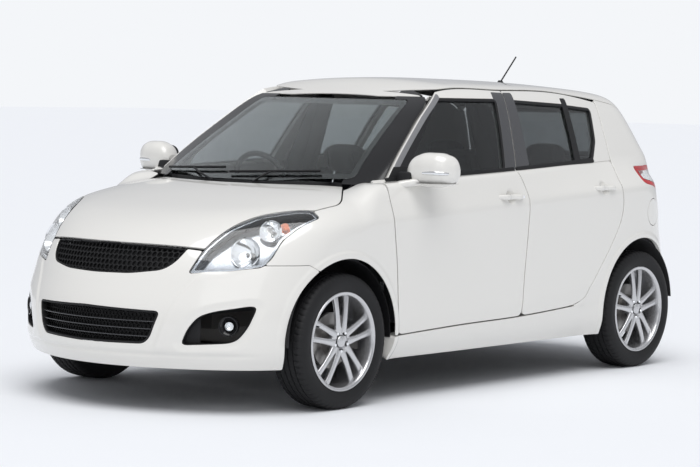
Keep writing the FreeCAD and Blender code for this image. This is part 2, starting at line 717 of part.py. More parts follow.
keep("roof_panel", roof_panel)
keep("windscreen", windscreen)
body_side = sill.fuse([hinge_post, centre_post, front_pillar, quarter, rear_pillar] + door_pins)
keep("body_side_left", body_side)
keep("body_side_right", mirrored(body_side))
keep("tail_lamps", both_sides(tail_lamp))

# Bonnet
bonnet_skin = 12.0


def bonnet_end_x(y):
    """How far forward the bonnet's face is needed at each station across."""
    if abs(y) < 470:
        return bonnet_front_x(y) + 14
    return curve([(470, 1660), (514, 1550), (579, 1415), (680, 1285), (728, 1236), (760, 1225)])(abs(y))


bonnet_ys = [-752, -700, -640, -560, -460, -330, -170, 0, 170, 330, 460, 560, 640, 700, 752]
bonnet_rows = between(body, lambda y: 800.0, bonnet_end_x, bonnet_ys, 10)
bonnet = pushed(bonnet_rows, V(0, 0, -bonnet_skin)).common(bonnet_cutter(0, 500, 1200))
lug_top = [cast(body, V(x, bonnet_lug_y + 5, 1700), V(0, 0, -1), 1300.0).z - bonnet_skin + 4 for x in (845, 905)]
bonnet_lug = plate([(845, bonnet_hinge[1]), (867, bonnet_hinge[1]), (905, 952), (905, lug_top[1]), (845, lug_top[0])],
                   "y", bonnet_lug_y, bonnet_lug_y + 10)
bonnet_lug = bonnet_lug.fuse(rod((bonnet_hinge[0], bonnet_lug_y, bonnet_hinge[1]),
                                 (bonnet_hinge[0], bonnet_lug_y + 10, bonnet_hinge[1]), hinge_eye_r))
bonnet_lug = bonnet_lug.cut(rod((bonnet_hinge[0], bonnet_lug_y - 5, bonnet_hinge[1]),
                                (bonnet_hinge[0], bonnet_lug_y + 20, bonnet_hinge[1]), hinge_pin_r + hinge_play))
bonnet = bonnet.fuse([bonnet_lug, mirrored(bonnet_lug)])
bonnet_hole = bonnet_cutter(shut_gap, 500, 1200)

# Front wings
wing_angles = [-56, -44, -30, -15, 0, 15, 27, 37, 46, 55, 64, 73]
wing_xs = [775, 850, 930, 1020, 1110, 1200, 1300, 1400, 1470, 1540]
wing = wall(around_beam(body, 540, 640, wing_xs, wing_angles, 0), around_beam(body, 540, 640, wing_xs, wing_angles, skin))
wing_behind = side_run(door_front_x, [240, 300, 365, 500, 637, 844, 1006, 1060], half_gap)
wing_behind = cutter([wing_behind, [(0, 0, 1060), (0, 0, 240)]], left, 300, 1100)
wing_seam = [(1660, 657), (1339, 657), (1290, 628), (1200, 500), (1200, 150), (1660, 150)]
wing = wing.cut(wing_behind).cut(wheel_front).cut(plate(wing_seam, "y", 200, 1100))
wing = wing.cut(box(600, 1200, 300, 1100, 100, 309)).cut(bonnet_hole).cut(lamp_cutter(1.0))
wing = wing.cut(box(600, 800, 0, 700, 900, 1100))

# Front bumper, with its openings
bumper_wall = 5.0
bumper_angles = [-79, -72, -64, -55, -45, -35, -25, -12, 0, 12, 25, 35, 45, 55, 64, 72, 79]
bumper_zs = [200, 225, 255, 290, 330, 380, 430, 480, 530, 580, 625, 665, 705, 745]
bumper_rows = around_post(body, 1150, 0, bumper_angles, bumper_zs, 0)
bumper = wall(bumper_rows, around_post(body, 1150, 0, bumper_angles, bumper_zs, bumper_wall))
upper_grille = [(-401, 722), (-200, 731), (0, 735), (200, 731), (401, 722), (402, 708), (380, 660), (338, 626),
                (191, 606), (0, 602), (-191, 606), (-338, 626), (-380, 660), (-402, 708)]
lower_grille = [(-376, 452), (0, 462), (376, 452), (339, 336), (308, 305), (0, 299), (-308, 305), (-339, 336)]
fog_recess = [(462, 306), (490, 380), (528, 436), (580, 458), (703, 484), (712, 466), (694, 392), (664, 335), (632, 318)]


bonnet_space = pushed(moved(bonnet_rows, V(0, 0, 10)), V(0, 0, -10 - bonnet_skin - shut_gap)).common(bonnet_hole)


def swapped(points):
    return [(-y, z) for y, z in points[::-1]]


for opening in (upper_grille, lower_grille, fog_recess, swapped(fog_recess)):
    bumper = bumper.cut(plate(opening, "x", 1400, 2100))
wing_region = plate([(1700, 657 - 2), (1339, 655), (1288, 626), (1100, 626), (1100, 1000), (1700, 1000)], "y", 480, 1100)
bumper = bumper.cut(bonnet_hole).cut(wheel_front).cut(mirrored(wheel_front))
bumper = bumper.cut(wing_region).cut(mirrored(wing_region))
lamp_hole = lamp_cutter(1.0)
bumper = bumper.cut(lamp_hole).cut(mirrored(lamp_hole))

# Headlamps
lamp_rows = from_way(body, V(1440, 620, 770), lamp_out, spread(-260, 330, 9), spread(-260, 330, 9))
lamp = pushed(lamp_rows, lamp_out * -lamp_depth).common(lamp_cutter(seat_gap)).cut(bonnet_hole)

# Grilles: a plate behind each opening, with level slats
grille_set = 22.0
grille_depth = 14.0
grille_rim = 9.0
rim_set = 1.5


def grille(outline, zs, bars, grille_angles=(-45, -36, -27, -18, -9, 0, 9, 18, 27, 36, 45)):
    """A rim that seats in the bumper's opening, with the slats standing back inside it."""
    block = wall(around_post(body, 1150, 0, grille_angles, zs, rim_set),
                 around_post(body, 1150, 0, grille_angles, zs, grille_set + grille_depth))
    front = wall(around_post(body, 1150, 0, grille_angles, zs, -40),
                 around_post(body, 1150, 0, grille_angles, zs, grille_set))
    insert = block.common(plate(drawn_in(outline, seat_gap), "x", 1400, 2100))
    insert = insert.cut(front.common(plate(drawn_in(outline, grille_rim), "x", 1400, 2100)))
    for low, high in bars:
        slot = drawn_in(outline, grille_rim)
        insert = insert.cut(plate(slot, "x", 1400, 2100).common(box(1400, 2100, -600, 600, low, high)))
    return insert.cut(bonnet_space)


upper_insert = grille(upper_grille, [592, 625, 660, 695, 738], [(618, 634), (644, 660), (670, 686), (696, 712)])
lower_insert = grille(lower_grille, [290, 330, 380, 430, 470], [(314, 334), (346, 370), (382, 406), (418, 440)])
fog_out = V(0.78, 0.62, 0).normalize()
fog_lamp = grille(fog_recess, [290, 330, 380, 430, 495], [], (26, 33, 40, 47, 54, 61, 66))
fog_lamp = fog_lamp.fuse(Part.makeCylinder(36, 34, V(1660, 628, 393) - fog_out * 36, fog_out))
keep("fog_lamps", both_sides(fog_lamp))
keep("bonnet", bonnet)
keep("front_wings", both_sides(wing))
keep("front_bumper", max(bumper.Solids, key=lambda q: q.Volume))
keep("headlamps", both_sides(lamp))
keep("grilles", Part.makeCompound([upper_insert, lower_insert]))

# Rear bumper
rear_bumper_angles = [100, 106, 113, 121, 130, 140, 150, 160, 170, 180, 190, 200, 210, 220, 230, 239, 247, 254, 260]
rear_bumper_zs = [292, 320, 370, 430, 500, 570, 620, 660]
rear_bumper = wall(around_post(flank, -1250, 0, rear_bumper_angles, rear_bumper_zs, 0),
                   around_post(flank, -1250, 0, rear_bumper_angles, rear_bumper_zs, bumper_wall))
keep_bumper = plate([(-1563, 517), (-1641, 597), (-1701, 645), (-1960, 645), (-1960, 280), (-1300, 280), (-1300, 517)],
                    "y", -1100, 1100)
rear_bumper = rear_bumper.common(keep_bumper).cut(wheel_rear).cut(mirrored(wheel_rear))
keep("rear_bumper", rear_bumper)

# Tailgate: one skin from the bumper up to the roof, with its window
gate_low_z = 652.0


def rear_form(x, y, z):
    low = blend(flank(x, y, z), z - 1064.0, 60.0)
    return min(low, blend(cabin(x, y, z), 970.0 - z, 40.0))


gate_ys = [-580, -520, -430, -300, -150, 0, 150, 300, 430, 520, 580]
gate_angles = [-56, -50, -44, -38, -32, -26, -20, -14, -8, -3, 2, 7, 12, 17, 22, 28, 36, 44, 52, 60, 68, 76]
pane_angles = [a for a in gate_angles if a > 0]
gate_rows = around_cross(rear_form, -1450, 1010, gate_ys, gate_angles, 0)
gate = wall(gate_rows, around_cross(rear_form, -1450, 1010, gate_ys, gate_angles, 16))
gate_outline = [(-tailgate_half + 6, gate_low_z), (tailgate_half - 6, gate_low_z), (tailgate_half - 6, 1078), (494, 1460),
                (-494, 1460), (-tailgate_half + 6, 1078)]
rear_glass_outline = [(-500, 1082), (500, 1082), (430, 1352), (-430, 1352)]
gate = gate.common(plate(gate_outline, "x", -2000, -1200)).cut(plate(rear_glass_outline, "x", -2000, -1400))
gate = gate.common(box(-2000, roof_rear_x - 10, -700, 700, 600, 1500))
gate_lug = box(gate_hinge[0] - hinge_eye_r, gate_hinge[0] + hinge_eye_r, gate_arm_y + 12, gate_arm_y + 22, gate_hinge[1],
               cast(rear_form, V(gate_hinge[0], gate_arm_y + 22, 1700), V(0, 0, -1), 500.0).z - 12)
gate_lug = gate_lug.fuse(rod((gate_hinge[0], gate_arm_y + 12, gate_hinge[1]), (gate_hinge[0], gate_arm_y + 22, gate_hinge[1]), hinge_eye_r))
gate_lug = gate_lug.cut(rod((gate_hinge[0], gate_arm_y, gate_hinge[1]), (gate_hinge[0], gate_arm_y + 40, gate_hinge[1]),
                            hinge_pin_r + hinge_play))
gate = gate.fuse([gate_lug, mirrored(gate_lug)])
rear_pane = wall(around_cross(rear_form, -1450, 1010, gate_ys, pane_angles, 4),
                 around_cross(rear_form, -1450, 1010, gate_ys, pane_angles, 9))
rear_pane = rear_pane.common(plate(drawn_in(rear_glass_outline, seat_gap), "x", -2000, -1400))
keep("tailgate", gate)
keep("rear_window", rear_pane)

# Wheels
wheel_y = track_half
bead_half = 80.0
wheel_in_y = 76.0
tyre_profile = [(-bead_half, rim_seat_r), (-bead_half, rim_lip_r + 3), (-tyre_width / 2, 262), (-wheel_in_y, tyre_r),
                (wheel_in_y, tyre_r), (tyre_width / 2, 262), (bead_half, rim_lip_r + 3), (bead_half, rim_seat_r)]
spoke_pairs = 5
hub_face_y = 50.0
spindle_r = 30.0
spindle_play = 0.05
disc_r = 126.0
cap_r = 27.0


def turned(profile):
    """A ring turned about the wheel's own axis, from points of width and radius."""
    corners = [V(r, y, 0) for y, r in profile]
    return Part.Face(Part.makePolygon(corners + corners[:1])).revolve(V(0, 0, 0), V(0, 1, 0), 360)


def turned_plate(radius, y0, y1):
    return Part.makeCylinder(radius, y1 - y0, V(0, y0, 0), V(0, 1, 0))


def spoke(side):
    """One arm of a pair, from the hub out to the rim, seen from outside."""
    arm = [(side * 6, 40), (side * 30, 46), (side * 50, 206), (side * 26, 208), (side * 4, 90)]
    return plate(arm, "y", hub_face_y + 12, hub_face_y + 32)


tyre = turned(tyre_profile)
barrel = turned([(-80, 211.7), (-80.3, rim_lip_r), (-86, rim_lip_r), (-86, 203), (-30, 190), (40, 198), (78, 206),
                 (86, 206), (86, rim_lip_r), (80.3, rim_lip_r), (80, 211.7)])
hub = turned_plate(62.0, hub_face_y, hub_face_y + 26)
spokes = []
for i in range(spoke_pairs):
    for side in (-1, 1):
        arm = spoke(side)
        arm.rotate(V(0, 0, 0), V(0, 1, 0), 360.0 / spoke_pairs * i)
        spokes.append(arm)
rim = fused([barrel, hub] + spokes)
rim = rim.cut(turned_plate(spindle_r + spindle_play, 0, hub_face_y + 15))
disc = turned_plate(disc_r, -6, 12).fuse(turned_plate(72.0, 12, hub_face_y - seat_gap))
disc = disc.cut(turned_plate(spindle_r + spindle_play, -20, hub_face_y + 15))
wheel_metal = Part.makeCompound([rim, disc])


def at_corner(shape, x, side):
    place = shape.copy()
    place.translate(V(x, wheel_y, axle_z))
    return place if side == "left" else mirrored(place)


for end, x in (("front", front_axle_x), ("rear", rear_axle_x)):
    for side in ("left", "right"):
        keep("tyre_" + end + "_" + side, at_corner(tyre, x, side))
        keep("rim_" + end + "_" + side, at_corner(wheel_metal, x, side))

# Steered knuckles, each with its strut, turning on two short pins along the kingpin line
pin_r = 14.0
pin_play = 0.05
low_ball = V(front_axle_x, 680, 205)
top_ball = V(front_axle_x - 25, 552, 880)
kingpin = (top_ball - low_ball).normalize()


def kingpin_rod(seat, low, high, radius):
    return rod(tuple(seat + kingpin * low), tuple(seat + kingpin * high), radius)


upright = fused([
    rod((front_axle_x, 640, axle_z), (front_axle_x, wheel_y + hub_face_y + 13, axle_z), spindle_r),
    box(front_axle_x - 34, front_axle_x + 34, 655, 712, 224, 400),
    box(front_axle_x - 26, front_axle_x + 26, 578, 700, 340, 400),
    kingpin_rod(low_ball, -13, 30, pin_r),
    rod((front_axle_x - 6, 600, 352), (front_axle_x - 24, 558, 846), 24),
    rod((front_axle_x - 18, 574, 650), (front_axle_x - 23.6, 560, 836), 56),
    kingpin_rod(top_ball, -60, 13, pin_r),
    box(front_axle_x - 150, front_axle_x - 60, 700, 722, 255, 355),
    box(front_axle_x - 70, front_axle_x - 20, 680, 712, 262, 348),
    box(front_axle_x - 160, front_axle_x - 134, 700, 776, 258, 352),
    box(front_axle_x - 150, front_axle_x - 82, 760, 778, 262, 348),
])
keep("steering_knuckle_left", upright)
keep("steering_knuckle_right", mirrored(upright))

# Subframe and lower arms
arm_end = Part.makeCylinder(30, 22, V(low_ball.x, low_ball.y, low_ball.z - 13))
arm_plate = plate([(1040, 350), (1200, 350), (1128, 668), (1092, 668)], "z", 192, 214)
arm = arm_end.fuse(arm_plate).cut(kingpin_rod(low_ball, -40, 40, pin_r + pin_play))
subframe = fused([box(1030, 1200, -360, 360, 186, 240), arm, mirrored(arm),
                  box(1180, 1200, -440, -340, 220, 240), box(1180, 1200, 340, 440, 220, 240),
                  box(1180, 1200, -440, -405, 230, 429.7), box(1180, 1200, 405, 440, 230, 429.7)])
rack = rod((1000, -330, 300), (1000, 330, 300), 24).fuse(box(1000, 1036, -60, 60, 225, 310))
subframe = subframe.fuse(rack)
keep("front_subframe", subframe)

# Twist beam and rear springs
trail_in = 588.0
trail_out = 632.0
trailing = [(rear_axle_x - 60, 262), (rear_axle_x - 60, 340), (-1250, 345), (-960, 318), (-895, 330 - seat_gap),
            (-830, 330 - seat_gap), (-830, 280), (-1100, 262)]
beam_side = fused([
    plate(trailing, "y", trail_in, trail_out),
    rod((rear_axle_x, 600, axle_z), (rear_axle_x, wheel_y + hub_face_y + 13, axle_z), spindle_r),
    box(-1300, -1170, 470, trail_in + 1, 300, 330),
])
beam = fused([beam_side, mirrored(beam_side), box(-1120, -1040, -trail_in - 1, trail_in + 1, 265, 335)])
keep("rear_axle", beam)
spring = rod((-1235, 522, 330.3), (-1235, 522, 419.7), 50).cut(rod((-1235, 522, 320), (-1235, 522, 430), 36))
keep("rear_springs", both_sides(spring))

# Floor, bulkhead, rails and wheelhouses
pan_half = sill_in_y
sheet_metal = 20.0
cowl_lip_z = 960.0
floor = fused([
    box(-450, 832, -pan_half, pan_half, 215, 215 + sheet_metal),
    box(-470, -450, -pan_half, pan_half, 215, 350),
    box(-900, -450, -pan_half, pan_half, 330, 350),
    box(-920, -900, -584, 584, 330, 440),
    box(-1750, -900, -584, 584, 420, 440),
    box(-1755, -1740, -560, 560, 420, 646),
    box(832, 850, -pan_half, pan_half, 215, 918),
    box(-450, 832, -150, 150, 215, 350),
])
floor = floor.cut(box(-480, 860, -125, 125, 200, 325))
wheel_space = Part.makeCylinder(arch_r, 600, V(front_axle_x, 484, arch_z), V(0, 1, 0))
floor = floor.cut([wheel_space, mirrored(wheel_space)])
toe_board = ring(arch_r + 12, arch_r, 478, 650, front_axle_x, arch_z)
toe_board = toe_board.fuse(Part.makeCylinder(arch_r + 12, 6, V(front_axle_x, 478, arch_z), V(0, 1, 0)))
toe_board = toe_board.common(box(740, 850, 470, pan_half, 215, 600))
cowl_front = [(screen_x(y, screen_foot_z) - 3, y) for y in spread(-440, 440, 7)]
cowl = plate([(770, -600), (770, 600), (800, 600), (800, 470)] + cowl_front[::-1] + [(800, -470), (800, -600)],
             "z", 915, screen_foot_z - seat_gap)
cowl = cowl.fuse(plate([(x - 40, y) for x, y in cowl_front] + [(x + 29, y) for x, y in cowl_front[::-1]], "z", 915, cowl_lip_z))
rail = box(850, 1600, 400, 460, 430, 520)
tower = box(1010, 1160, 440, 640, 866, 896).cut(kingpin_rod(top_ball, -40, 40, pin_r + pin_play))
apron = box(960, 1220, 428, 446, 500, 896)
ledge = box(850, 1180, 630, 730, 840, 870)
wing_rail = wall(around_beam(body, 540, 640, [800, 900, 1000, 1100, 1180], [40, 47, 54], -2),
                 around_beam(body, 540, 640, [800, 900, 1000, 1100, 1180], [40, 47, 54], 60))
wing_cover = wall(around_beam(body, 540, 640, wing_xs, wing_angles, -10),
                  around_beam(body, 540, 640, wing_xs, wing_angles, skin + seat_gap))
wing_rail = wing_rail.cut(wing_cover).cut(bonnet_hole)
beam_front = box(1600, 1650, -500, 500, 480, 560)
absorber_angles = [-40, -27, -13, 0, 13, 27, 40]
absorber = wall(around_post(body, 1150, 0, absorber_angles, [478, 520, 562], bumper_wall - 1),
                around_post(body, 1150, 0, absorber_angles, [478, 520, 562], 70))
absorber = absorber.cut(wall(around_post(body, 1150, 0, bumper_angles, bumper_zs, -10),
                             around_post(body, 1150, 0, bumper_angles, bumper_zs, bumper_wall + seat_gap)))
absorber = fused([absorber, box(1640, 1800, -300, 300, 500, 560), beam_front])
rear_absorber = wall(around_post(flank, -1250, 0, rear_bumper_angles[6:13], rear_bumper_zs[3:7],
                                 bumper_wall + 10 * seat_gap),
                     around_post(flank, -1250, 0, rear_bumper_angles[6:13], rear_bumper_zs[3:7], 75))
rear_absorber = rear_absorber.fuse(box(-1870, -1745, -300, 300, 490, 560))
side_wall = Part.makeCylinder(arch_r + 3.7, 6, V(rear_axle_x, 579, arch_z), V(0, 1, 0))
house_rear = ring(arch_r + 3.7, arch_r - 2, 579, 798, rear_axle_x, arch_z).fuse(side_wall)
house_rear = house_rear.common(box(-1700, -950, 500, 900, 350, 800))
house_front = ring(arch_r - 0.3, arch_r - 6, 660, 806, front_axle_x, arch_z)
house_front = house_front.common(box(700, 1500, 500, 900, 300, 800))
radiator = box(1540, 1575, -330, 330, 250, 700)
bonnet_pin = fused([
    box(bonnet_hinge[0] - 8, bonnet_hinge[0] + 8, bonnet_lug_y + 12, bonnet_lug_y + 22, 890, bonnet_hinge[1]),
    box(840, bonnet_hinge[0] + 8, bonnet_lug_y + 12, bonnet_lug_y + 22, 880, 917),
    rod((bonnet_hinge[0], bonnet_lug_y + 12, bonnet_hinge[1]), (bonnet_hinge[0], bonnet_lug_y + 22, bonnet_hinge[1]), 8),
    rod((bonnet_hinge[0], bonnet_lug_y - 2, bonnet_hinge[1]), (bonnet_hinge[0], bonnet_lug_y + 22, bonnet_hinge[1]), hinge_pin_r)])
front_side = [toe_board, rail, tower, apron, ledge, wing_rail, bonnet_pin, house_rear]
shell = floor.fuse([cowl, absorber, rear_absorber, radiator, box(1540, 1600, -420, 420, 440, 500)] + front_side
                   + [mirrored(q) for q in front_side])
keep("floor_pan", shell)
keep("arch_liners", both_sides(house_front))

# Engine, exhaust and tank
keep("engine_block", box(1030, 1420, -310, 310, 340, 810).fuse(box(1080, 1160, -310, 310, 240.3, 345)))
exhaust = pipe([(1029.7, 60, 380), (1000, 60, 380), (940, 40, 345), (870, 0, 285), (820, 0, 270), (-860, 0, 270), (-1000, 120, 215),
                (-1150, 200, 215), (-1410, 260, 330)], 24)
exhaust = exhaust.fuse([rod((-1400, 260, 330), (-1700, 260, 330), 80), box(-10, 10, -5, 5, 280, 325 - seat_gap),
                        box(-1570, -1550, 250, 270, 400, 420 - seat_gap),
                        pipe([(-1690, 260, 300), (-1740, 400, 252), (-1800, 400, 250)], 20)])
keep("exhaust", exhaust)
keep("fuel_tank", box(-880, -480, -500, -60, 200, 329.7))

# Cabin
wheel_tilt = V(-0.94, 0, 0.33).normalize()
wheel_centre = V(340, -350, 930)
boss_back = 26.0
dash = plate([(560, 700), (545, 880), (600, 950), (700, 960), (764, 900), (764, 660), (700, 640)], "y",
             seat_gap - sill_in_y, sill_in_y - seat_gap)
dash = dash.fuse(rod(tuple(wheel_centre - wheel_tilt * (boss_back + 240)),
                     tuple(wheel_centre - wheel_tilt * (boss_back + seat_gap)), 28))
keep("dashboard", dash)


def seat(y0, y1, x, base, rise):
    """A cushion, a raked back and a headrest on its posts."""
    cushion = plate([(x, base), (x + 500, base + 20), (x + 510, base + 110), (x + 480, base + 140),
                     (x + 60, base + 110)], "y", y0, y1)
    back = plate([(x - 20, base + 20), (x + 110, base + 110), (x - 80, base + rise), (x - 190, base + rise - 10)],
                 "y", y0 + 10, y1 - 10)
    middle = (y0 + y1) / 2
    rest = box(x - 185, x - 85, middle - 130, middle + 130, base + rise + 40, base + rise + 190)
    posts = [rod((x - 135, middle + o, base + rise - 40), (x - 135, middle + o, base + rise + 60), 8)
             for o in (-60, 60)]
    return fused([cushion, back, rest] + posts)


front_seat = seat(160, 600, -200, 330, 620).fuse(box(-160, 260, 180, 540, 235.3, 352))
keep("front_seats", both_sides(front_seat))
rear_bench = plate([(-899.7, 350.3), (-520, 350.3), (-510, 470), (-540, 500), (-960, 480), (-960, 440.3), (-899.7, 440.3)],
                   "y", -570, 570)
rear_back = plate([(-1040, 440.3), (-930, 440.3), (-1080, 1000), (-1170, 1000)], "y", -570, 570)
rests = []
for y in (-330, 330):
    rests.append(box(-1180, -1100, y - 120, y + 120, 1030, 1160))
    rests.append(rod((-1135, y, 980), (-1135, y, 1050), 10))
keep("rear_seat", fused([rear_bench, rear_back] + rests))

# Steering wheel
rim_section = [(178 + 15 * math.cos(a), 15 * math.sin(a)) for a in spread(0, 2 * math.pi * 7 / 8, 8)]
steering = Part.Face(Part.makePolygon([V(r, 0, h) for r, h in rim_section + rim_section[:1]]))
steering = steering.revolve(V(0, 0, 0), V(0, 0, 1), 360)
steering.Placement = FreeCAD.Placement(wheel_centre, FreeCAD.Rotation(V(0, 0, 1), wheel_tilt))
boss = Part.makeCylinder(56, boss_back + 20, wheel_centre - wheel_tilt * boss_back, wheel_tilt)
arms = [rod(tuple(wheel_centre), tuple(wheel_centre + V(0, c, 0) * 170 + wheel_tilt.cross(V(0, 1, 0)) * (d * 170)), 14)
        for c, d in ((1.0, 0.0), (-1.0, 0.0), (0.0, 1.0))]
steering = fused([steering, boss] + arms)
keep("steering_wheel", steering)

# Aerial and wipers
mast_foot = V(-1176, 0, roof_line(-1176))
aerial = fused([Part.makeCone(26, 10, 24, mast_foot - V(0, 0, 3)), rod(tuple(mast_foot + V(0, 0, 10)), (-1316, 0, 1618), 4)])
keep("aerial", aerial.cut(pushed(moved(roof_rows, V(0, 0, seat_gap)), V(0, 0, -60))))
wipers = []
for y0, y1, pivot_y in ((-570, -100, -120), (-40, 430, 140)):
    blade = [(screen_x(y, z) + 26, y, z) for y, z in zip(spread(y0, y1, 5), spread(1030, 1048, 5))]
    middle = blade[2]
    pivot_x = screen_x(pivot_y, screen_foot_z) + 14
    halfway = (pivot_y + middle[1]) / 2
    arm = [(pivot_x, pivot_y, cowl_lip_z + seat_gap), (pivot_x, pivot_y, 990),
           (screen_x(halfway, 1015) + 26, halfway, 1015), middle]
    wipers.append(pipe(blade, 6).fuse(pipe(arm, 5)))
keep("wipers", Part.makeCompound(wipers))
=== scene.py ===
import math
import bpy
import numpy as np
from mathutils import Matrix


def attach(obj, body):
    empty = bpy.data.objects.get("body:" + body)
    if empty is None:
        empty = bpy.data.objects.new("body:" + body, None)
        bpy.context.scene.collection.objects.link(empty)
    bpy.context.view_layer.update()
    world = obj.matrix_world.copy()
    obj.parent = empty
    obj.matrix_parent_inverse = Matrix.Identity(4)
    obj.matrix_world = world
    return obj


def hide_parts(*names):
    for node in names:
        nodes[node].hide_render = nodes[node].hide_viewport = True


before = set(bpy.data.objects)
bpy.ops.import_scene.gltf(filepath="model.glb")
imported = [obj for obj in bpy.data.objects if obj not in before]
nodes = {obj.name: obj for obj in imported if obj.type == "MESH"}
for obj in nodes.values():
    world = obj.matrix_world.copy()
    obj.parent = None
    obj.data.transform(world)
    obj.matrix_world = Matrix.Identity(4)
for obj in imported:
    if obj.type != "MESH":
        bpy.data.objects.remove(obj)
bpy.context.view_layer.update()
mm = 0.001


def unit(v):
    v = np.asarray(v, float)
    return v / np.linalg.norm(v, axis=-1, keepdims=True)


# Body lines of the hatchback, in millimetres, as (station, value)
def curve(points):
    # cubic pieces through the points with matched slopes, straight beyond the ends
    xs, ys = np.array(points, float).T
    h = np.diff(xs)
    d = np.diff(ys) / h
    m = np.empty(len(xs))
    m[1:-1] = (d[:-1] * h[1:] + d[1:] * h[:-1]) / (h[:-1] + h[1:])
    m[0] = 1.5 * d[0] - 0.5 * m[1] if len(xs) > 2 else d[0]
    m[-1] = 1.5 * d[-1] - 0.5 * m[-2] if len(xs) > 2 else d[-1]

    def at(x):
        x = np.asarray(x, float)
        i = np.clip(np.searchsorted(xs, x) - 1, 0, len(h) - 1)
        t = np.clip((x - xs[i]) / h[i], 0, 1)
        s = 1 - t
        y = ys[i] * (1 + 2 * t) * s * s + m[i] * h[i] * t * s * s
        y = y + ys[i + 1] * t * t * (3 - 2 * t) - m[i + 1] * h[i] * t * t * s
        return y + m[0] * np.minimum(x - xs[0], 0) + m[-1] * np.maximum(x - xs[-1], 0)

    return at


def softRamp(x, width):
    # width * log(1 + exp(x / width)): zero below 0, x above it, with a round corner
    return width * np.logaddexp(0.0, x / width)


def blend(a, b, radius):
    # the larger distance, with the corner between them rounded by a cubic
    h = np.maximum(radius - np.abs(a - b), 0) / radius
    return np.maximum(a, b) + h ** 3 * radius / 6


def step01(x, low, high):
    # 3t^2 - 2t^3 between low and high
    t = np.clip((x - low) / (high - low), 0, 1)
    return t * t * (3 - 2 * t)


wheels = dict(frontX=1110.0, rearX=-1320.0, half=740.0, axleZ=305.0, archZ=319.0, archR=358.0, rearMore=4.0)
gaps = dict(shut=6.0, half=3.0, edge=1.8)
bonnetLine = curve([(700, 1018), (1000, 984), (1300, 925), (1550, 858), (1750, 782), (1900, 700)])
halfWidth = curve([(-1925, 770), (-1600, 812), (-1320, 840), (-900, 844), (-300, 847), (300, 845),
                   (780, 838), (1110, 842), (1400, 822), (1700, 770), (1900, 720)])
shoulderLine = curve([(-1700, 975), (-1100, 948), (-297, 902), (780, 843), (1300, 812)])
shoulderLean = curve([(-1600, 1.0), (-1300, 0.97), (-1100, 0.86), (-700, 0.56), (-258, 0.36),
                      (780, 0.30), (1300, 0.30)])
noseLine = curve([(180, 1866), (240, 1903), (330, 1918), (450, 1912), (560, 1874), (650, 1837),
                  (740, 1790), (820, 1740)])
tailLine = curve([(290, -1868), (330, -1893), (420, -1909), (560, -1913), (640, -1897), (700, -1881),
                  (850, -1858), (1000, -1800)])
screenLine = curve([(950, 1035), (1100, 790), (1250, 520), (1385, 262), (1470, 60)])
roofLine = curve([(-1700, 1405), (-1400, 1450), (-1000, 1478), (-500, 1490), (-100, 1490), (250, 1470),
                  (450, 1425)])
glassWidth = curve([(-1800, 690), (-1300, 745), (-800, 778), (-200, 792), (50, 778), (200, 762), (350, 748),
                    (528, 736), (708, 722), (900, 700)])
backLine = curve([(950, -1824), (1050, -1796), (1200, -1722), (1343, -1650), (1450, -1600)])
doorFrontX = curve([(300, 722), (365, 728), (500, 738), (637, 750), (844, 776), (1006, 781)])
doorSplitX = curve([(330, -240), (513, -246), (757, -270), (880, -279), (953, -272), (1050, -240)])
doorRearX = curve([(359, -691), (389, -779), (442, -830), (555, -933), (679, -1037), (770, -1098),
                   (857, -1122), (961, -1114), (1080, -1165)])
doorFootZ = curve([(-691, 359), (-238, 336), (264, 325), (646, 310)])
beltZ = curve([(-1150, 1084), (-856, 1074), (-112, 1041), (619, 1011), (781, 1004)])
roofEdgeZ = curve([(-1250, 1385), (-952, 1426), (-406, 1438), (140, 1423), (244, 1399)])
frameSplitX = curve([(1041, -252), (1400, -386), (1440, -400)])
frameFrontX = curve([(1000, 712), (1050, 655), (1100, 595), (1150, 530), (1200, 461), (1250, 390),
                     (1300, 318), (1350, 240), (1398, 165)])
frameRearX = curve([(1080, -1172), (1239, -1212), (1385, -1252)])
creaseZ = curve([(-1000, 478), (-829, 458), (-216, 402), (680, 366), (800, 360)])
roofHalf = curve([(-1554, 546), (-1100, 544), (-952, 542), (-404, 555), (107, 551), (200, 556)])
bonnetFrontX = curve([(-480, 1646), (-380, 1688), (0, 1757), (380, 1688), (480, 1646)])
bonnetRearX = curve([(-575, 838), (-300, 960), (0, 1004), (300, 960), (575, 838)])
handles = dict(front=(-131.0, 923.0), rear=(-955.0, 949.0), cupR=40.0, cupDepth=13.0)


def archR(x, z, end):
    return np.hypot(x - wheels[end], z - wheels["archZ"])


def archField(x, z, end):
    # positive within the arch's opening, which is cut wider at the rear
    return wheels["archR"] + (wheels["rearMore"] if end == "rearX" else 0.0) - archR(x, z, end)


flankShape = dict(shoulderR=9.0, tuck=0.000036, tuckTop=700.0, sill=0.55, sillTop=262.0, sillR=18.0, crease=0.09,
                  creaseR=5.0, creaseRear=(-1000.0, -800.0), creaseFront=(660.0, 790.0), lip=5.0, lipR=(381.0, 397.0))


def sideY(x, z):
    # half width, less the lean above the shoulder, the tuck below the crease and at the sill,
    # plus a lip round each wheel arch, less a round cup behind each door handle
    k = flankShape
    y = halfWidth(x)
    y = y - shoulderLean(x) * softRamp(z - shoulderLine(x), k["shoulderR"])
    y = y - k["tuck"] * np.maximum(k["tuckTop"] - z, 0.0) ** 2
    y = y - k["sill"] * softRamp(k["sillTop"] - z, k["sillR"])
    crease = k["crease"] * softRamp(creaseZ(x) - z, k["creaseR"])
    y = y - crease * step01(x, *k["creaseRear"]) * (1 - step01(x, *k["creaseFront"]))
    for end in ("frontX", "rearX"):
        y = y + k["lip"] * (1 - step01(archR(x, z, end), *k["lipR"]))
    for hx, hz in (handles["front"], handles["rear"]):
        r = np.hypot(x - hx, z - hz)
        y = y - handles["cupDepth"] * (1 - step01(r, 0.35 * handles["cupR"], handles["cupR"]))
    return y


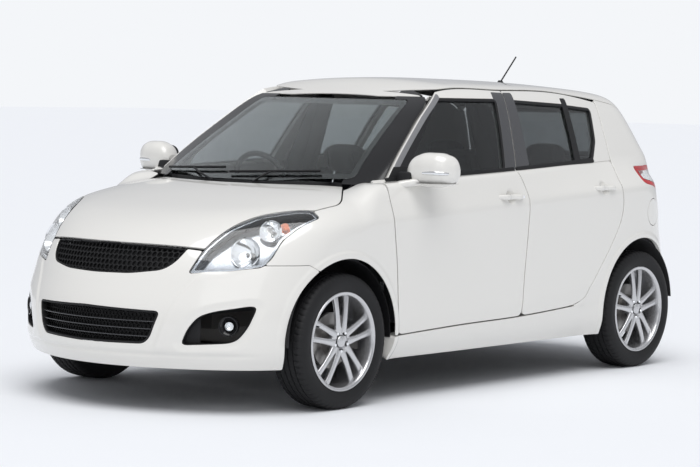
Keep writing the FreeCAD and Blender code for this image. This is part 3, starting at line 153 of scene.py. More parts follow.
bodyShape = dict(crown=0.00006, fall=5.4, fallY=560.0, fallR=60.0, noseBow=0.00062, noseR=240.0, tailBow=0.00042,
                 tailR=260.0, shoulderR=170.0)


def bonnetZ(x, y):
    fall = bodyShape["fall"] * np.logaddexp(0, (np.abs(y) - bodyShape["fallY"]) / bodyShape["fallR"])
    return bonnetLine(x) - bodyShape["crown"] * y * y - fall


def ends(f, x, y, z):
    f = blend(f, x - noseLine(z) + bodyShape["noseBow"] * y * y, bodyShape["noseR"])
    return blend(f, tailLine(z) + bodyShape["tailBow"] * y * y - x, bodyShape["tailR"])


def body(x, y, z):
    # lower body: under the bonnet, within the sides, between nose and tail
    return ends(blend(z - bonnetZ(x, y), np.abs(y) - sideY(x, z), bodyShape["shoulderR"]), x, y, z)


def flank(x, y, z):
    return ends(np.abs(y) - sideY(x, z), x, y, z)


cabinShape = dict(footZ=1000.0, height=400.0, screenBow=0.00046, lean=0.40, curl=0.00022, crown=0.00011,
                  roofR=110.0, screenR=40.0, backR=150.0, backBow=0.0003, footBow=0.00012, bowZ=1100.0, bowR=130.0)


def screenX(y, z):
    rise = np.clip((z - cabinShape["footZ"]) / cabinShape["height"], 0.0, 1.0)
    return screenLine(z) - cabinShape["screenBow"] * y * y * (1.0 - 0.5 * rise)


def cabinSide(x, y, z):
    # the sides lean in and curl over towards a crowned roof
    k = cabinShape
    rise = np.maximum(z - k["footZ"], 0.0)
    side = np.abs(y) - glassWidth(x) + k["lean"] * (z - k["footZ"]) + k["curl"] * rise * rise
    return blend(z - roofLine(x) + k["crown"] * y * y, side, k["roofR"])


def cabin(x, y, z):
    # closed by the windscreen and by a back that bows more at its foot
    k = cabinShape
    f = blend(cabinSide(x, y, z), 0.5 * (x - screenX(y, z)), k["screenR"])
    bow = k["backBow"] + k["footBow"] * np.clip((k["bowZ"] - z) / k["bowR"], 0.0, 1.0)
    return blend(f, 0.9 * (backLine(z) + bow * y * y - x), k["backR"])


def smoothUnion(a, b, radius):
    return -blend(-a, -b, radius)


def doorForm(x, y, z):
    # the flank, rounded over at the belt, joined to the glass line 7 mm inside the frames
    glass = np.maximum(cabinSide(x, y, z) + 7.0, beltZ(x) - 40.0 - z)
    return smoothUnion(blend(flank(x, y, z), z - beltZ(x), 34.0), glass, 6.0)


def quarterForm(x, y, z):
    return smoothUnion(blend(flank(x, y, z), z - 1080.0, 50.0), blend(cabin(x, y, z), 1000.0 - z, 30.0), 40.0)


wingShape = dict(corner=(838.0, 575.0), way=(-0.622, 0.783), rear=(800.0, 1010.0), liftOver=110.0, tightOver=60.0,
                 tighter=110.0)


def wingForm(x, y, z):
    # the body, its shoulder raised to the belt and drawn tighter between bonnet corner and door
    k = wingShape
    off = k["way"][1] * (np.abs(y) - k["corner"][1]) + k["way"][0] * (x - k["corner"][0])
    near = 1 - step01(x, *k["rear"])
    lift = near * step01(off, 0, k["liftOver"]) * np.maximum(beltZ(x) - bonnetZ(x, y), 0.0)
    radius = bodyShape["shoulderR"] - k["tighter"] * near * step01(off, 0, k["tightOver"])
    return ends(blend(z - bonnetZ(x, y) - lift, np.abs(y) - sideY(x, z), radius), x, y, z)


def rearForm(x, y, z):
    # flank and glasshouse joined, with a shallow bay for the rear plate
    bay = 14.0 * (1 - step01(np.abs(y), 250, 285)) * step01(z, 742, 762) * (1 - step01(z, 868, 884))
    high = blend(cabin(x, y, z), 970.0 - z, 40.0)
    return smoothUnion(blend(flank(x, y, z), z - 1064.0, 60.0), high, 24.0) + bay


# Ways to look at a form: each gives points for two parameters
def formAt(form, p):
    return form(p[..., 0], p[..., 1], p[..., 2])


def castOn(form, start, way, reach, strides=64, halvings=18):
    # start + s * way for the first s where the form is zero, or else where it is least
    stride = reach / strides
    depth = np.full(start.shape[:-1], -1.0)
    least = np.full(depth.shape, 1e9)
    closest = np.zeros(depth.shape)
    for k in range(1, strides + 1):
        f = formAt(form, start + way * (stride * k))
        depth = np.where((f < 0) & (depth < 0), stride * k, depth)
        closer = (f < least) & (depth < 0)
        least = np.where(closer, f, least)
        closest = np.where(closer, stride * k, closest)
    near, far = depth, depth - stride
    for k in range(halvings):
        mid = (near + far) / 2
        out = formAt(form, start + way * mid[..., None]) > 0
        far = np.where(out, mid, far)
        near = np.where(out, near, mid)
    return start + way * np.where(depth < 0, closest, near)[..., None]


def place(x, y, z):
    return np.stack(np.broadcast_arrays(x, y, z), -1).astype(float)


def fromSide(form):
    return lambda x, z: castOn(form, place(x, 1000.0, z), np.array([0, -1.0, 0]), 950.0)


def fromTop(form):
    return lambda x, y: castOn(form, place(x, y, 1700.0), np.array([0, 0, -1.0]), 1300.0)


def fromFront(form):
    return lambda y, z: castOn(form, place(2300.0, y, z), np.array([-1.0, 0, 0]), 2300.0)


def aroundPost(form, x0, y0):
    def at(a, z):
        out = place(np.cos(np.radians(a)), np.sin(np.radians(a)), 0.0 * z)
        return castOn(form, place(x0, y0, z) + out * 1500, -out, 1480.0)
    return at


def aroundBeam(form, y0, z0):
    def at(x, a):
        out = place(0.0 * x, np.cos(np.radians(a)), np.sin(np.radians(a)))
        return castOn(form, place(x, y0, z0) + out * 900, -out, 880.0)
    return at


def aroundCross(form, x0, z0):
    def at(y, a):
        out = place(-np.cos(np.radians(a)), 0.0 * y, np.sin(np.radians(a)))
        return castOn(form, place(x0, y, z0) + out * 900, -out, 880.0)
    return at


lampOut = unit([0.62, 0.45, 0.64])
lampMid = np.array([1440.0, 620.0, 770.0])
lampAcross = unit(np.cross([0, 0, 1], lampOut))
lampUp = np.cross(lampOut, lampAcross)


def fromLamp(form):
    def at(u, v):
        foot = lampMid + u[..., None] * lampAcross + v[..., None] * lampUp
        return castOn(form, foot + lampOut * 500, -lampOut, 1000.0)
    return at


def gradient(form, p, reach=0.7):
    # central differences of the form, made unit length: the outward normal
    g = np.stack([formAt(form, p + step) - formAt(form, p - step) for step in np.eye(3) * reach], -1)
    return g / np.maximum(np.linalg.norm(g, axis=-1, keepdims=True), 1e-9)


# Outlines
def rounded(points, radius):
    # each corner becomes a quadratic arc that starts a radius, or 0.45 of the side, before it
    p = np.array(points, float)
    before, after = np.roll(p, 1, 0) - p, np.roll(p, -1, 0) - p
    lb, la = np.linalg.norm(before, axis=1), np.linalg.norm(after, axis=1)
    start = p + before * (np.minimum(radius, 0.45 * lb) / lb)[:, None]
    stop = p + after * (np.minimum(radius, 0.45 * la) / la)[:, None]
    t = np.linspace(0, 1, 6)[None, :, None]
    arc = start[:, None] * (1 - t) ** 2 + p[:, None] * 2 * t * (1 - t) + stop[:, None] * t * t
    return arc.reshape(-1, 2)


def distanceTo(points):
    # signed distance to a closed polygon: least distance to its sides, negative inside
    a = np.array(points, float)
    b = np.roll(a, -1, 0)
    e = b - a
    size = np.maximum((e * e).sum(1), 1e-9)

    def at(p, q):
        x, y = np.asarray(p, float).ravel()[:, None], np.asarray(q, float).ravel()[:, None]
        wx, wy = x - a[:, 0], y - a[:, 1]
        t = np.clip((wx * e[:, 0] + wy * e[:, 1]) / size, 0, 1)
        least = np.hypot(wx - t * e[:, 0], wy - t * e[:, 1]).min(1)
        slope = e[:, 0] / np.where(np.abs(e[:, 1]) < 1e-9, 1e-9, e[:, 1])
        crosses = ((a[:, 1] > y) != (b[:, 1] > y)) & (x < a[:, 0] + wy * slope)
        inside = crosses.sum(1) % 2 == 1
        return np.where(inside, -least, least).reshape(np.shape(p))

    return at


def largest(*fields):
    top = fields[0]
    for f in fields[1:]:
        top = np.maximum(top, f)
    return top


# Mesh parts: dictionaries of points, normals, faces by size, and a material
def trimmedSheet(surface, us, vs, field):
    # the grid's cells are cut where the field is zero, each by the pattern of its four corners
    u, v = np.meshgrid(us, vs, indexing="ij")
    grid = surface(u, v)
    f = field(grid)
    for border in (f[0], f[-1], f[:, 0], f[:, -1]):
        border[:] = np.maximum(border, 0.01)
    n, m = f.shape
    inside = f < 0
    cutU = inside[:-1] != inside[1:]
    cutV = inside[:, :-1] != inside[:, 1:]
    tU = f[:-1][cutU] / (f[:-1] - f[1:])[cutU]
    tV = f[:, :-1][cutV] / (f[:, :-1] - f[:, 1:])[cutV]
    onU = surface(u[:-1][cutU] + (u[1:] - u[:-1])[cutU] * tU, v[:-1][cutU])
    onV = surface(u[:, :-1][cutV], v[:, :-1][cutV] + (v[:, 1:] - v[:, :-1])[cutV] * tV)
    points = np.concatenate([grid.reshape(-1, 3), onU, onV])
    at = np.arange(n * m).reshape(n, m)
    idU = np.full(cutU.shape, -1)
    idU[cutU] = n * m + np.arange(len(onU))
    idV = np.full(cutV.shape, -1)
    idV[cutV] = n * m + len(onU) + np.arange(len(onV))
    corner = [at[:-1, :-1], at[1:, :-1], at[1:, 1:], at[:-1, 1:]]
    side = [idU[:, :-1], idV[1:], idU[:, 1:], idV[:-1]]
    inCorner = [inside[:-1, :-1], inside[1:, :-1], inside[1:, 1:], inside[:-1, 1:]]
    code = sum(c.astype(int) << k for k, c in enumerate(inCorner))
    faces, rims = [], []
    for c in range(1, 16):
        cells = code == c
        if not cells.any():
            continue
        chain = []
        for k in range(4):
            if c >> k & 1:
                chain.append((corner[k], False))
            if (c >> k & 1) != (c >> ((k + 1) % 4) & 1):
                chain.append((side[k], True))
        faces.append(np.stack([ids[cells] for ids, cut in chain], -1))
        for (a, cutA), (b, cutB) in zip(chain, chain[1:] + chain[:1]):
            if cutA and cutB:
                rims.append(np.stack([a[cells], b[cells]], -1))
    used = np.unique(np.concatenate([q.ravel() for q in faces]))
    renumber = np.full(len(points), -1)
    renumber[used] = np.arange(len(used))
    return points[used], [renumber[q] for q in faces], renumber[np.concatenate(rims)]


def panel(surface, us, vs, field, form, thick, mat, edge=None, lift=0.0):
    # a trimmed sheet, its rim rolled over a quarter circle of radius edge, then a wall down to
    # the same sheet moved inwards by the thickness
    edge = gaps["edge"] if edge is None else edge
    points, faces, rims = trimmedSheet(surface, us, vs, lambda p: field(p) + edge)
    normal = gradient(form, points)
    points = points + normal * lift
    q = faces[-1]
    turn = np.cross(points[q[:, 1]] - points[q[:, 0]], points[q[:, 2]] - points[q[:, 0]])
    if (turn * normal[q[:, 0]]).sum() < 0:
        faces = [g[:, ::-1] for g in faces]
        rims = rims[:, ::-1]
    a, b = rims.T
    out = np.cross(points[b] - points[a], normal[a])
    tangent = np.zeros_like(points)
    np.add.at(tangent, a, out)
    np.add.at(tangent, b, out)
    rim = np.unique(rims)
    tangent = tangent[rim] / np.maximum(np.linalg.norm(tangent[rim], axis=1, keepdims=True), 1e-9)
    onRim = np.full(len(points), -1)
    onRim[rim] = np.arange(len(rim))
    a, b = onRim[rims].T
    count, ring = len(points), len(rim)
    layers, shade, walls = [points], [normal], []
    last = rim
    for angle in (35.0, 65.0, 90.0, None):
        s, c = (1.0, 0.0) if angle is None else (math.sin(math.radians(angle)), math.cos(math.radians(angle)))
        down = thick if angle is None else edge * (1 - c)
        layers.append(points[rim] + tangent * (edge * s) - normal[rim] * down)
        shade.append(tangent * s + normal[rim] * c if angle else np.zeros((ring, 3)))
        now = count + ring * (len(layers) - 2) + np.arange(ring)
        walls.append(np.stack([last[b], last[a], now[a], now[b]], -1))
        last = now
    under = count + 4 * ring
    layers.append(points - normal * thick)
    shade.append(np.zeros((count, 3)))
    walls.append(np.stack([last[b], last[a], under + rim[a], under + rim[b]], -1))
    faces = faces + walls + [g[:, ::-1] + under for g in faces]
    return dict(points=np.concatenate(layers), normals=np.concatenate(shade), faces=faces, mat=mat)


def gridPart(p, mat, closeU=False, closeV=False, caps=False):
    # quads over a grid of points, turned so that the whole encloses a positive volume
    n, m = p.shape[:2]
    at = np.arange(n * m).reshape(n, m)
    if closeU:
        at = np.concatenate([at, at[:1]])
    if closeV:
        at = np.concatenate([at, at[:, :1]], 1)
    quads = np.stack([at[:-1, :-1], at[1:, :-1], at[1:, 1:], at[:-1, 1:]], -1).reshape(-1, 4)
    points = p.reshape(-1, 3)
    faces = [quads]
    if caps:
        ring = np.arange(n * m).reshape(n, m)
        for row, flip in ((ring[0], False), (ring[-1], True)):
            hub = len(points)
            points = np.concatenate([points, points[row].mean(0)[None]])
            nxt = np.roll(row, -1)
            tri = np.stack([row, nxt, np.full(m, hub)], -1)
            faces.append(tri[:, ::-1] if flip else tri)
    centre = points.mean(0)
    volume = 0.0
    for g in faces:
        a = points[g[:, 0]] - centre
        for k in range(1, g.shape[1] - 1):
            volume += (a * np.cross(points[g[:, k]] - centre, points[g[:, k + 1]] - centre)).sum()
    if volume < 0:
        faces = [g[:, ::-1] for g in faces]
    return dict(points=points, normals=np.zeros_like(points), faces=faces, mat=mat)


def mirrored(part):
    flip = np.array([1.0, -1.0, 1.0])
    return dict(part, points=part["points"] * flip, normals=part["normals"] * flip,
                faces=[g[:, ::-1] for g in part["faces"]])


def sided(parts, side):
    return parts if side == "left" else [mirrored(q) for q in parts]


def both(parts):
    return parts + sided(parts, "right")


def moved(part, shift):
    return dict(part, points=part["points"] + np.array(shift, float))


def turned(profile, mat, count=64, centre=(0, 0, 0), way=(0, 1, 0)):
    # (distance along the way, radius) points turned about a line through the centre
    h, r = np.array(profile, float).T
    a = np.linspace(0, 2 * np.pi, count, endpoint=False)[:, None]
    w = unit(way)
    side = unit(np.cross(w, [0, 0, 1] if abs(w[2]) < 0.9 else [1, 0, 0]))
    up = np.cross(w, side)
    p = (np.array(centre, float) + h[None, :, None] * w
         + (r * np.cos(a))[..., None] * side + (r * np.sin(a))[..., None] * up)
    return gridPart(p, mat, closeU=True, closeV=True)


def swept(path, section, mat, up=(0, 0, 1), closed=False, scale=None):
    # a closed section of (across, up) points carried along a path
    path = np.array(path, float)
    way = unit(np.roll(path, -1, 0) - np.roll(path, 1, 0) if closed else np.gradient(path, axis=0))
    across = unit(np.cross(way, np.array(up, float)))
    rise = np.cross(across, way)
    s = np.array(section, float)
    k = np.ones(len(path)) if scale is None else np.array(scale, float)
    p = path[:, None] + (across[:, None] * s[None, :, :1] + rise[:, None] * s[None, :, 1:]) * k[:, None, None]
    return gridPart(p, mat, closeU=closed, closeV=True, caps=not closed)


def oval(width, height, count=16, power=2.0):
    # |x/w|^p + |y/h|^p = 1
    a = np.linspace(0, 2 * np.pi, count, endpoint=False)
    c, s = np.cos(a), np.sin(a)
    return np.stack([width * np.sign(c) * np.abs(c) ** (2 / power),
                     height * np.sign(s) * np.abs(s) ** (2 / power)], -1)


def block(low, high, mat, bevel=4.0, power=6.0):
    # a rounded block: superellipse sections that shrink over the bevel at both ends
    low, high = np.array(low, float), np.array(high, float)
    mid, half = (low + high) / 2, (high - low) / 2
    bevel = min(bevel, half.min() * 0.9)
    t = np.array([-1, -1, -1, 1, 1, 1]) * half[2] + np.array([0, 0.3, 1, -1, -0.3, 0]) * bevel
    shrink = np.array([bevel, 0.3 * bevel, 0, 0, 0.3 * bevel, bevel])
    ring = oval(1.0, 1.0, 40, power)
    p = np.stack([mid[0] + ring[None, :, 0] * (half[0] - shrink)[:, None],
                  mid[1] + ring[None, :, 1] * (half[1] - shrink)[:, None],
                  mid[2] + t[:, None] + 0 * ring[None, :, 0]], -1)
    return gridPart(p, mat, closeV=True, caps=True)


def extruded(points, low, high, mat, normal="y", bevel=4.0):
    # an outline carried along an axis, drawn in over the bevel at both ends
    p = np.array(points, float)
    draw = bevel / np.maximum(np.linalg.norm(p - p.mean(0), axis=1), 1e-6).mean()
    levels = [low, low + 0.3 * bevel, low + bevel, high - bevel, high - 0.3 * bevel, high]
    rows = []
    for level, share in zip(levels, (1 - draw, 1 - 0.3 * draw, 1, 1, 1 - 0.3 * draw, 1 - draw)):
        q = p.mean(0) + (p - p.mean(0)) * share
        rows.append(place(q[:, 0], level, q[:, 1]) if normal == "y" else place(level, q[:, 0], q[:, 1]))
    return gridPart(np.array(rows), mat, closeV=True, caps=True)


def linked(name, data):
    obj = bpy.data.objects.new(name, data)
    bpy.context.scene.collection.objects.link(obj)
    return obj


def piece(name, parts, body, replaces=(), sharp=40.0):
    # one object from several parts; known normals are kept, the rest follow the faces
    points, normals, faces, index, mats = [], [], [], [], []
    count = 0
    for part in parts:
        if part["mat"] not in mats:
            mats.append(part["mat"])
        points.append(part["points"] * mm)
        normals.append(part["normals"])
        for g in part["faces"]:
            faces += (g + count).tolist()
            index += [mats.index(part["mat"])] * len(g)
        count += len(part["points"])
    points, normals = np.concatenate(points), np.concatenate(normals)
    mesh = bpy.data.meshes.new(name)
    mesh.from_pydata(points.tolist(), [], faces)
    mesh.polygons.foreach_set("material_index", np.array(index, dtype=np.int32))
    mesh.polygons.foreach_set("use_smooth", np.ones(len(faces), dtype=bool))
    mesh.update()
    mesh.set_sharp_from_angle(angle=math.radians(sharp))
    if np.abs(normals).max() > 0:
        loops = np.empty(len(mesh.loops), dtype=np.int32)
        mesh.loops.foreach_get("vertex_index", loops)
        mesh.normals_split_custom_set(normals[loops].tolist())
    for mat in mats:
        mesh.materials.append(mat)
    obj = linked(name, mesh)
    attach(obj, body)
    if replaces:
        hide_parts(*replaces)
    return obj


# Materials
def material(name, colour, roughness, metallic=0.0, bump=0.0, scale=200.0, vary=0.0, coat=0.0, rough2=None,
             **sockets):
    # a fine noise for the grain, a broad one for uneven colour and gloss
    mat = bpy.data.materials.new(name)
    mat.use_nodes = True
    tree = mat.node_tree
    shader = tree.nodes["Principled BSDF"]
    where = tree.nodes.new("ShaderNodeTexCoord")
    fine = tree.nodes.new("ShaderNodeTexNoise")
    fine.inputs["Scale"].default_value = scale
    fine.inputs["Detail"].default_value = 4.0
    broad = tree.nodes.new("ShaderNodeTexNoise")
    broad.inputs["Scale"].default_value = 3.0
    tree.links.new(where.outputs["Object"], fine.inputs["Vector"])
    tree.links.new(where.outputs["Object"], broad.inputs["Vector"])
    tint = tree.nodes.new("ShaderNodeMix")
    tint.data_type = "RGBA"
    tint.inputs[6].default_value = (*[max(c * (1 - vary), 0) for c in colour], 1)
    tint.inputs[7].default_value = (*[min(c * (1 + vary), 1) for c in colour], 1)
    tree.links.new(broad.outputs["Fac"], tint.inputs[0])
    tree.links.new(tint.outputs[2], shader.inputs["Base Color"])
    gloss = tree.nodes.new("ShaderNodeMapRange")
    gloss.inputs["To Min"].default_value = roughness * 0.92
    gloss.inputs["To Max"].default_value = min(roughness * 1.12 + 0.01, 1) if rough2 is None else rough2
    tree.links.new(fine.outputs["Fac"], gloss.inputs["Value"])
    tree.links.new(gloss.outputs["Result"], shader.inputs["Roughness"])
    shader.inputs["Metallic"].default_value = metallic
    shader.inputs["Coat Weight"].default_value = coat
    shader.inputs["Coat Roughness"].default_value = 0.03
    if bump:
        relief = tree.nodes.new("ShaderNodeBump")
        relief.inputs["Strength"].default_value = bump
        relief.inputs["Distance"].default_value = 0.0006
        tree.links.new(fine.outputs["Fac"], relief.inputs["Height"])
        tree.links.new(relief.outputs["Normal"], shader.inputs["Normal"])
    for key, value in sockets.items():
        shader.inputs[key.replace("_", " ")].default_value = value
    return mat


pearlWhite = material("pearl_white", (0.80, 0.785, 0.745), 0.30, coat=1.0, vary=0.006, scale=900.0)
blackGloss = material("black_gloss", (0.010, 0.010, 0.011), 0.16, coat=0.25, vary=0.1, Specular_IOR_Level=0.3)
pillarGrey = material("pillar_grey", (0.045, 0.046, 0.05), 0.22, coat=0.6, vary=0.08)
stripGrey = material("strip_grey", (0.30, 0.30, 0.31), 0.28, metallic=0.5, coat=0.4, vary=0.04)
blackPlastic = material("black_plastic", (0.012, 0.012, 0.013), 0.5, bump=0.5, scale=900.0, vary=0.15,
                        Specular_IOR_Level=0.3)
rubber = material("tyre_rubber", (0.013, 0.013, 0.014), 0.62, bump=0.6, scale=420.0, vary=0.25,
                  Specular_IOR_Level=0.3)
silver = material("wheel_silver", (0.60, 0.60, 0.61), 0.26, metallic=0.85, coat=0.5, vary=0.03, scale=900.0)
chrome = material("lamp_chrome", (0.86, 0.87, 0.88), 0.07, metallic=1.0, vary=0.03)
steel = material("brake_steel", (0.34, 0.33, 0.32), 0.34, metallic=1.0, bump=0.4, scale=300.0, vary=0.2)
castIron = material("cast_iron", (0.10, 0.095, 0.09), 0.6, metallic=0.6, bump=0.8, scale=160.0, vary=0.3)
underseal = material("underseal", (0.028, 0.028, 0.029), 0.75, bump=0.9, scale=180.0, vary=0.3)
cloth = material("seat_cloth", (0.055, 0.055, 0.06), 0.85, bump=1.0, scale=1400.0, vary=0.25, Sheen_Weight=0.3)
trim = material("cabin_trim", (0.04, 0.04, 0.043), 0.6, bump=0.8, scale=700.0, vary=0.2)
amber = material("amber_bulb", (0.95, 0.17, 0.004), 0.25, vary=0.05)
lampSilver = material("lamp_silver", (0.42, 0.44, 0.47), 0.22, metallic=0.9, vary=0.12, coat=0.4)
mirrorGlass = material("mirror_glass", (0.75, 0.77, 0.80), 0.02, metallic=1.0, vary=0.02)


def clearMaterial(name, colour, roughness=0.02, weight=1.0, ior=1.45):
    mat = material(name, colour, roughness, vary=0.02, rough2=roughness * 1.3)
    inputs = mat.node_tree.nodes["Principled BSDF"].inputs
    inputs["Transmission Weight"].default_value, inputs["IOR"].default_value = weight, ior
    return mat


screenGlass = clearMaterial("windscreen_glass", (0.62, 0.66, 0.66))
sideGlass = clearMaterial("side_glass", (0.26, 0.28, 0.285))
lensClear = clearMaterial("lens_clear", (0.97, 0.98, 0.99), ior=1.4)
lensRed = clearMaterial("lens_red", (0.72, 0.012, 0.02), 0.06, weight=0.55)
print("forms and materials ready")


def xyz(p):
    return p[..., 0], np.abs(p[..., 1]), p[..., 2]


def steps(low, high, size):
    return np.linspace(low, high, max(int(round((high - low) / size)), 2) + 1)


def inset(out, rim, band=None):
    # within an outline seen along the car, drawn in by the rim; with a band, only that far inwards
    def at(p):
        d = out(p[..., 1], p[..., 2])
        return d + rim if band is None else np.maximum(d + rim, -band - d)
    return at


# Bonnet: its plan outline runs along the nose, past the headlamps and wings, to the cowl
bonnet = dict(skin=12.0, cell=9.0, endY=470.0, cornerY=575.0)
lampSideY = curve([(1215, 728), (1262, 680), (1397, 579), (1534, 514), (1646, 474)])
wingSideY = curve([(1018, 718), (1070, 743), (1140, 741), (1215, 728)])
halfRun = ([(x, lampSideY(x)) for x in np.linspace(1646, 1225, 16)]
           + [(x, wingSideY(x)) for x in np.linspace(1215, 1018, 12)])
bonnetPlan = ([(bonnetFrontX(y), y) for y in np.linspace(-bonnet["endY"], bonnet["endY"], 31)] + halfRun
              + [(bonnetRearX(y), y) for y in np.linspace(bonnet["cornerY"], -bonnet["cornerY"], 31)]
              + [(x, -y) for x, y in halfRun[::-1]])
bonnetPlanOut = distanceTo(bonnetPlan)


def bonnetField(p):
    return bonnetPlanOut(p[..., 0], p[..., 1])


piece("bonnet_panel", [panel(fromTop(body), steps(826, 1770, bonnet["cell"]), steps(-756, 756, bonnet["cell"]),
                             bonnetField, body, bonnet["skin"], pearlWhite)], "bonnet", ["bonnet"])

# Headlamp outline, in the plane across the way that the lamp faces
lamp = dict(depth=62.0, lens=3.0)
lampEdge = [(1725, 445, 613), (1646, 471, 725), (1534, 514, 811), (1397, 579, 867), (1262, 680, 891),
            (1222, 722, 888), (1230, 775, 859), (1348, 748, 813), (1421, 728, 766), (1488, 722, 690),
            (1524, 698, 646), (1620, 597, 627)]


def onLamp(p):
    return (p - lampMid) @ lampAcross, (p - lampMid) @ lampUp


lampU, lampV = onLamp(np.array(lampEdge, float))
lampRound = rounded(np.stack([lampU, lampV], -1), 18.0)
lampPlanOut = distanceTo(lampRound)


def lampField(p):
    return lampPlanOut(*onLamp(np.stack(xyz(p), -1)))


# Wings and front bumper
wingSeam = distanceTo([(1660, 657), (1339, 657), (1290, 628), (1200, 500), (1200, 150), (1660, 150)])
wingRegion = distanceTo([(1700, 655), (1339, 655), (1288, 626), (1100, 626), (1100, 1000), (1700, 1000)])


def wingField(p):
    x, y, z = xyz(p)
    return largest(doorFrontX(z) + gaps["half"] - x, archField(x, z, "frontX"), -wingSeam(x, z),
                   gaps["shut"] - bonnetPlanOut(x, y), 1.0 - lampField(p), np.minimum(1200 - x, 309 - z),
                   np.minimum(np.minimum(800 - x, 700 - y), z - 900))


wing = panel(aroundBeam(wingForm, 540, 640), steps(712, 1545, 8), steps(-62, 75, 1.1), wingField, wingForm, 4.0,
             pearlWhite)
piece("wing_panels", both([wing]), "root", ["front_wings"])

upperGrille = rounded([(-401, 722), (-200, 731), (0, 735), (200, 731), (401, 722), (402, 708), (380, 660),
                       (338, 626), (191, 606), (0, 602), (-191, 606), (-338, 626), (-380, 660), (-402, 708)], 30)
lowerGrille = rounded([(-376, 452), (0, 462), (376, 452), (339, 336), (308, 305), (0, 299), (-308, 305),
                       (-339, 336)], 26)
fogRecess = rounded([(462, 306), (490, 380), (528, 436), (580, 458), (703, 484), (712, 466), (694, 392),
                     (664, 335), (632, 318)], 26)
upperOut, lowerOut, fogOut = distanceTo(upperGrille), distanceTo(lowerGrille), distanceTo(fogRecess)


def noseOpenings(p):
    x, y, z = xyz(p)
    hole = np.minimum(np.minimum(upperOut(y, z), lowerOut(y, z)), fogOut(y, z))
    return np.where(x > 1300, -hole, -50.0)


def bumperField(p):
    x, y, z = xyz(p)
    return largest(gaps["shut"] - bonnetPlanOut(x, y), 1.0 - lampField(p), archField(x, z, "frontX"),
                   -np.maximum(wingRegion(x, z), 480 - y), noseOpenings(p))


noseShape = dict(stand=8.0, dish=7.0, groove=5.0, grooveZ=262.0, grooveR=9.0)
flareY = curve([(250, 330), (330, 362), (450, 402), (560, 446), (640, 500), (720, 560)])


def bumperForm(x, y, z):
    # the body, stood out beyond the flare line, dished round the fog recess, with a groove at the chin
    y = np.abs(y)
    beside = step01(y - flareY(z), -6, 22) * (1 - step01(y, 560, 690))
    f = body(x, y, z) - noseShape["stand"] * beside * step01(z, 236, 300) * (1 - step01(z, 590, 668))
    dish = noseShape["dish"] * (1 - step01(fogOut(y, z), 6, 38)) * step01(x, 1350, 1450)
    chin = np.exp(-((z - noseShape["grooveZ"]) / noseShape["grooveR"]) ** 2) * (1 - step01(y, 620, 760))
    return f + dish + noseShape["groove"] * chin


bumperLook = aroundPost(bumperForm, 1150, 0)
piece("front_bumper_skin", [panel(bumperLook, steps(-80, 80, 0.62), steps(200, 747, 6), bumperField, bumperForm, 5.0,
                                  pearlWhite)], "root", ["front_bumper"])
print("nose panels done")

# Doors: the low skin turns in at the belt to meet the glass; the frame above it carries the windows
windows = dict(
    front=[(146, 1385), (508, 1081), (516, 1024), (-160, 1050), (-295, 1384)],
    rear=[(-447, 1380), (-360, 1057), (-822, 1083), (-903, 1362)],
    quarter=[(-930, 1357), (-858, 1090), (-990, 1096), (-1077, 1188), (-1151, 1342)],
    corner=16.0, seal=11.0, glassSet=8.0, pane=4.0)
frontWindow, rearWindow, quarterWindow = [distanceTo(rounded(windows[k], windows["corner"]))
                                          for k in ("front", "rear", "quarter")]
doors = dict(skin=12.0, frame=30.0, cell=8.0, innerY=712.0, bow=14.0, card=52.0, cardIn=40.0, beltUp=10.0,
             corner=40.0, bandDepth=5.0)


def doorField(front, rear):
    # between two edge lines, from the foot to the belt, with rounded lower corners
    def at(p):
        x, y, z = xyz(p)
        f = blend(x - front(z) + gaps["half"], doorFootZ(x) + gaps["half"] - z, doors["corner"])
        f = blend(f, rear(z) + gaps["half"] - x, doors["corner"])
        return largest(f, z - beltZ(x) - doors["beltUp"])
    return at


def frameField(front, rear, *outs):
    # between two edge lines, from the belt to the roof's edge, less the windows
    def at(p):
        x, y, z = xyz(p)
        return largest(x - front(z) + gaps["half"], z - roofEdgeZ(x) + gaps["half"], rear(z) + gaps["half"] - x,
                       beltZ(x) - 2 - z, *[-out(x, z) for out in outs])
    return at


def sealField(*outs):
    def at(p):
        x, y, z = xyz(p)
        return np.minimum.reduce([np.maximum(out(x, z) - windows["seal"], -out(x, z) - 4) for out in outs])
    return at


def paneField(out):
    return lambda p: out(p[..., 0], p[..., 2]) - 3.0


def behindFrame(x, z):
    # distance behind the frame's sloping front line
    return (frameFrontX(z) - x) * 0.64

def stripField(p):
    # a band behind the frame's front line
    x, y, z = xyz(p)
    d = behindFrame(x, z)
    return largest(7 - d, d - 34, 1072 - z, z - roofEdgeZ(x) + 12)


def memberField(p):
    # dark between that band and the window
    x, y, z = xyz(p)
    d = behindFrame(x, z)
    return largest(32 - d, -3 - frontWindow(x, z), 1040 - z, z - roofEdgeZ(x) + 14, 150 - x)


def sailField(p):
    x, y, z = xyz(p)
    return largest(5 - behindFrame(x, z), beltZ(x) + 4 - z, 506 - x, z - 1074)


def frontPostField(p):
    x, y, z = xyz(p)
    return largest(frameSplitX(z) + gaps["half"] - x, -frontWindow(x, z) + 9, x - 60, beltZ(x) + 6 - z,
                   z - roofEdgeZ(x) + 13, (x + 0.404 * (z - 1050) + 148) * 0.93)


def rearPostField(p):
    x, y, z = xyz(p)
    return largest(x - frameSplitX(z) + gaps["half"], beltZ(x) + 6 - z, z - roofEdgeZ(x) + 13,
                   -(x + 0.269 * (z - 1057) + 372) * 0.96)


def dividerField(p):
    # between the rear door's two panes
    x, y, z = xyz(p)
    return largest(x + 0.29 * (z - 1083) + 812, -(x + 0.27 * (z - 1090) + 868), beltZ(x) + 6 - z,
                   z - roofEdgeZ(x) + 16)


def beltField(low, high):
    def at(p):
        x, y, z = xyz(p)
        return largest(low + 4 - x, x - high + 4, beltZ(x) - 3 - z, z - beltZ(x) - 17)
    return at


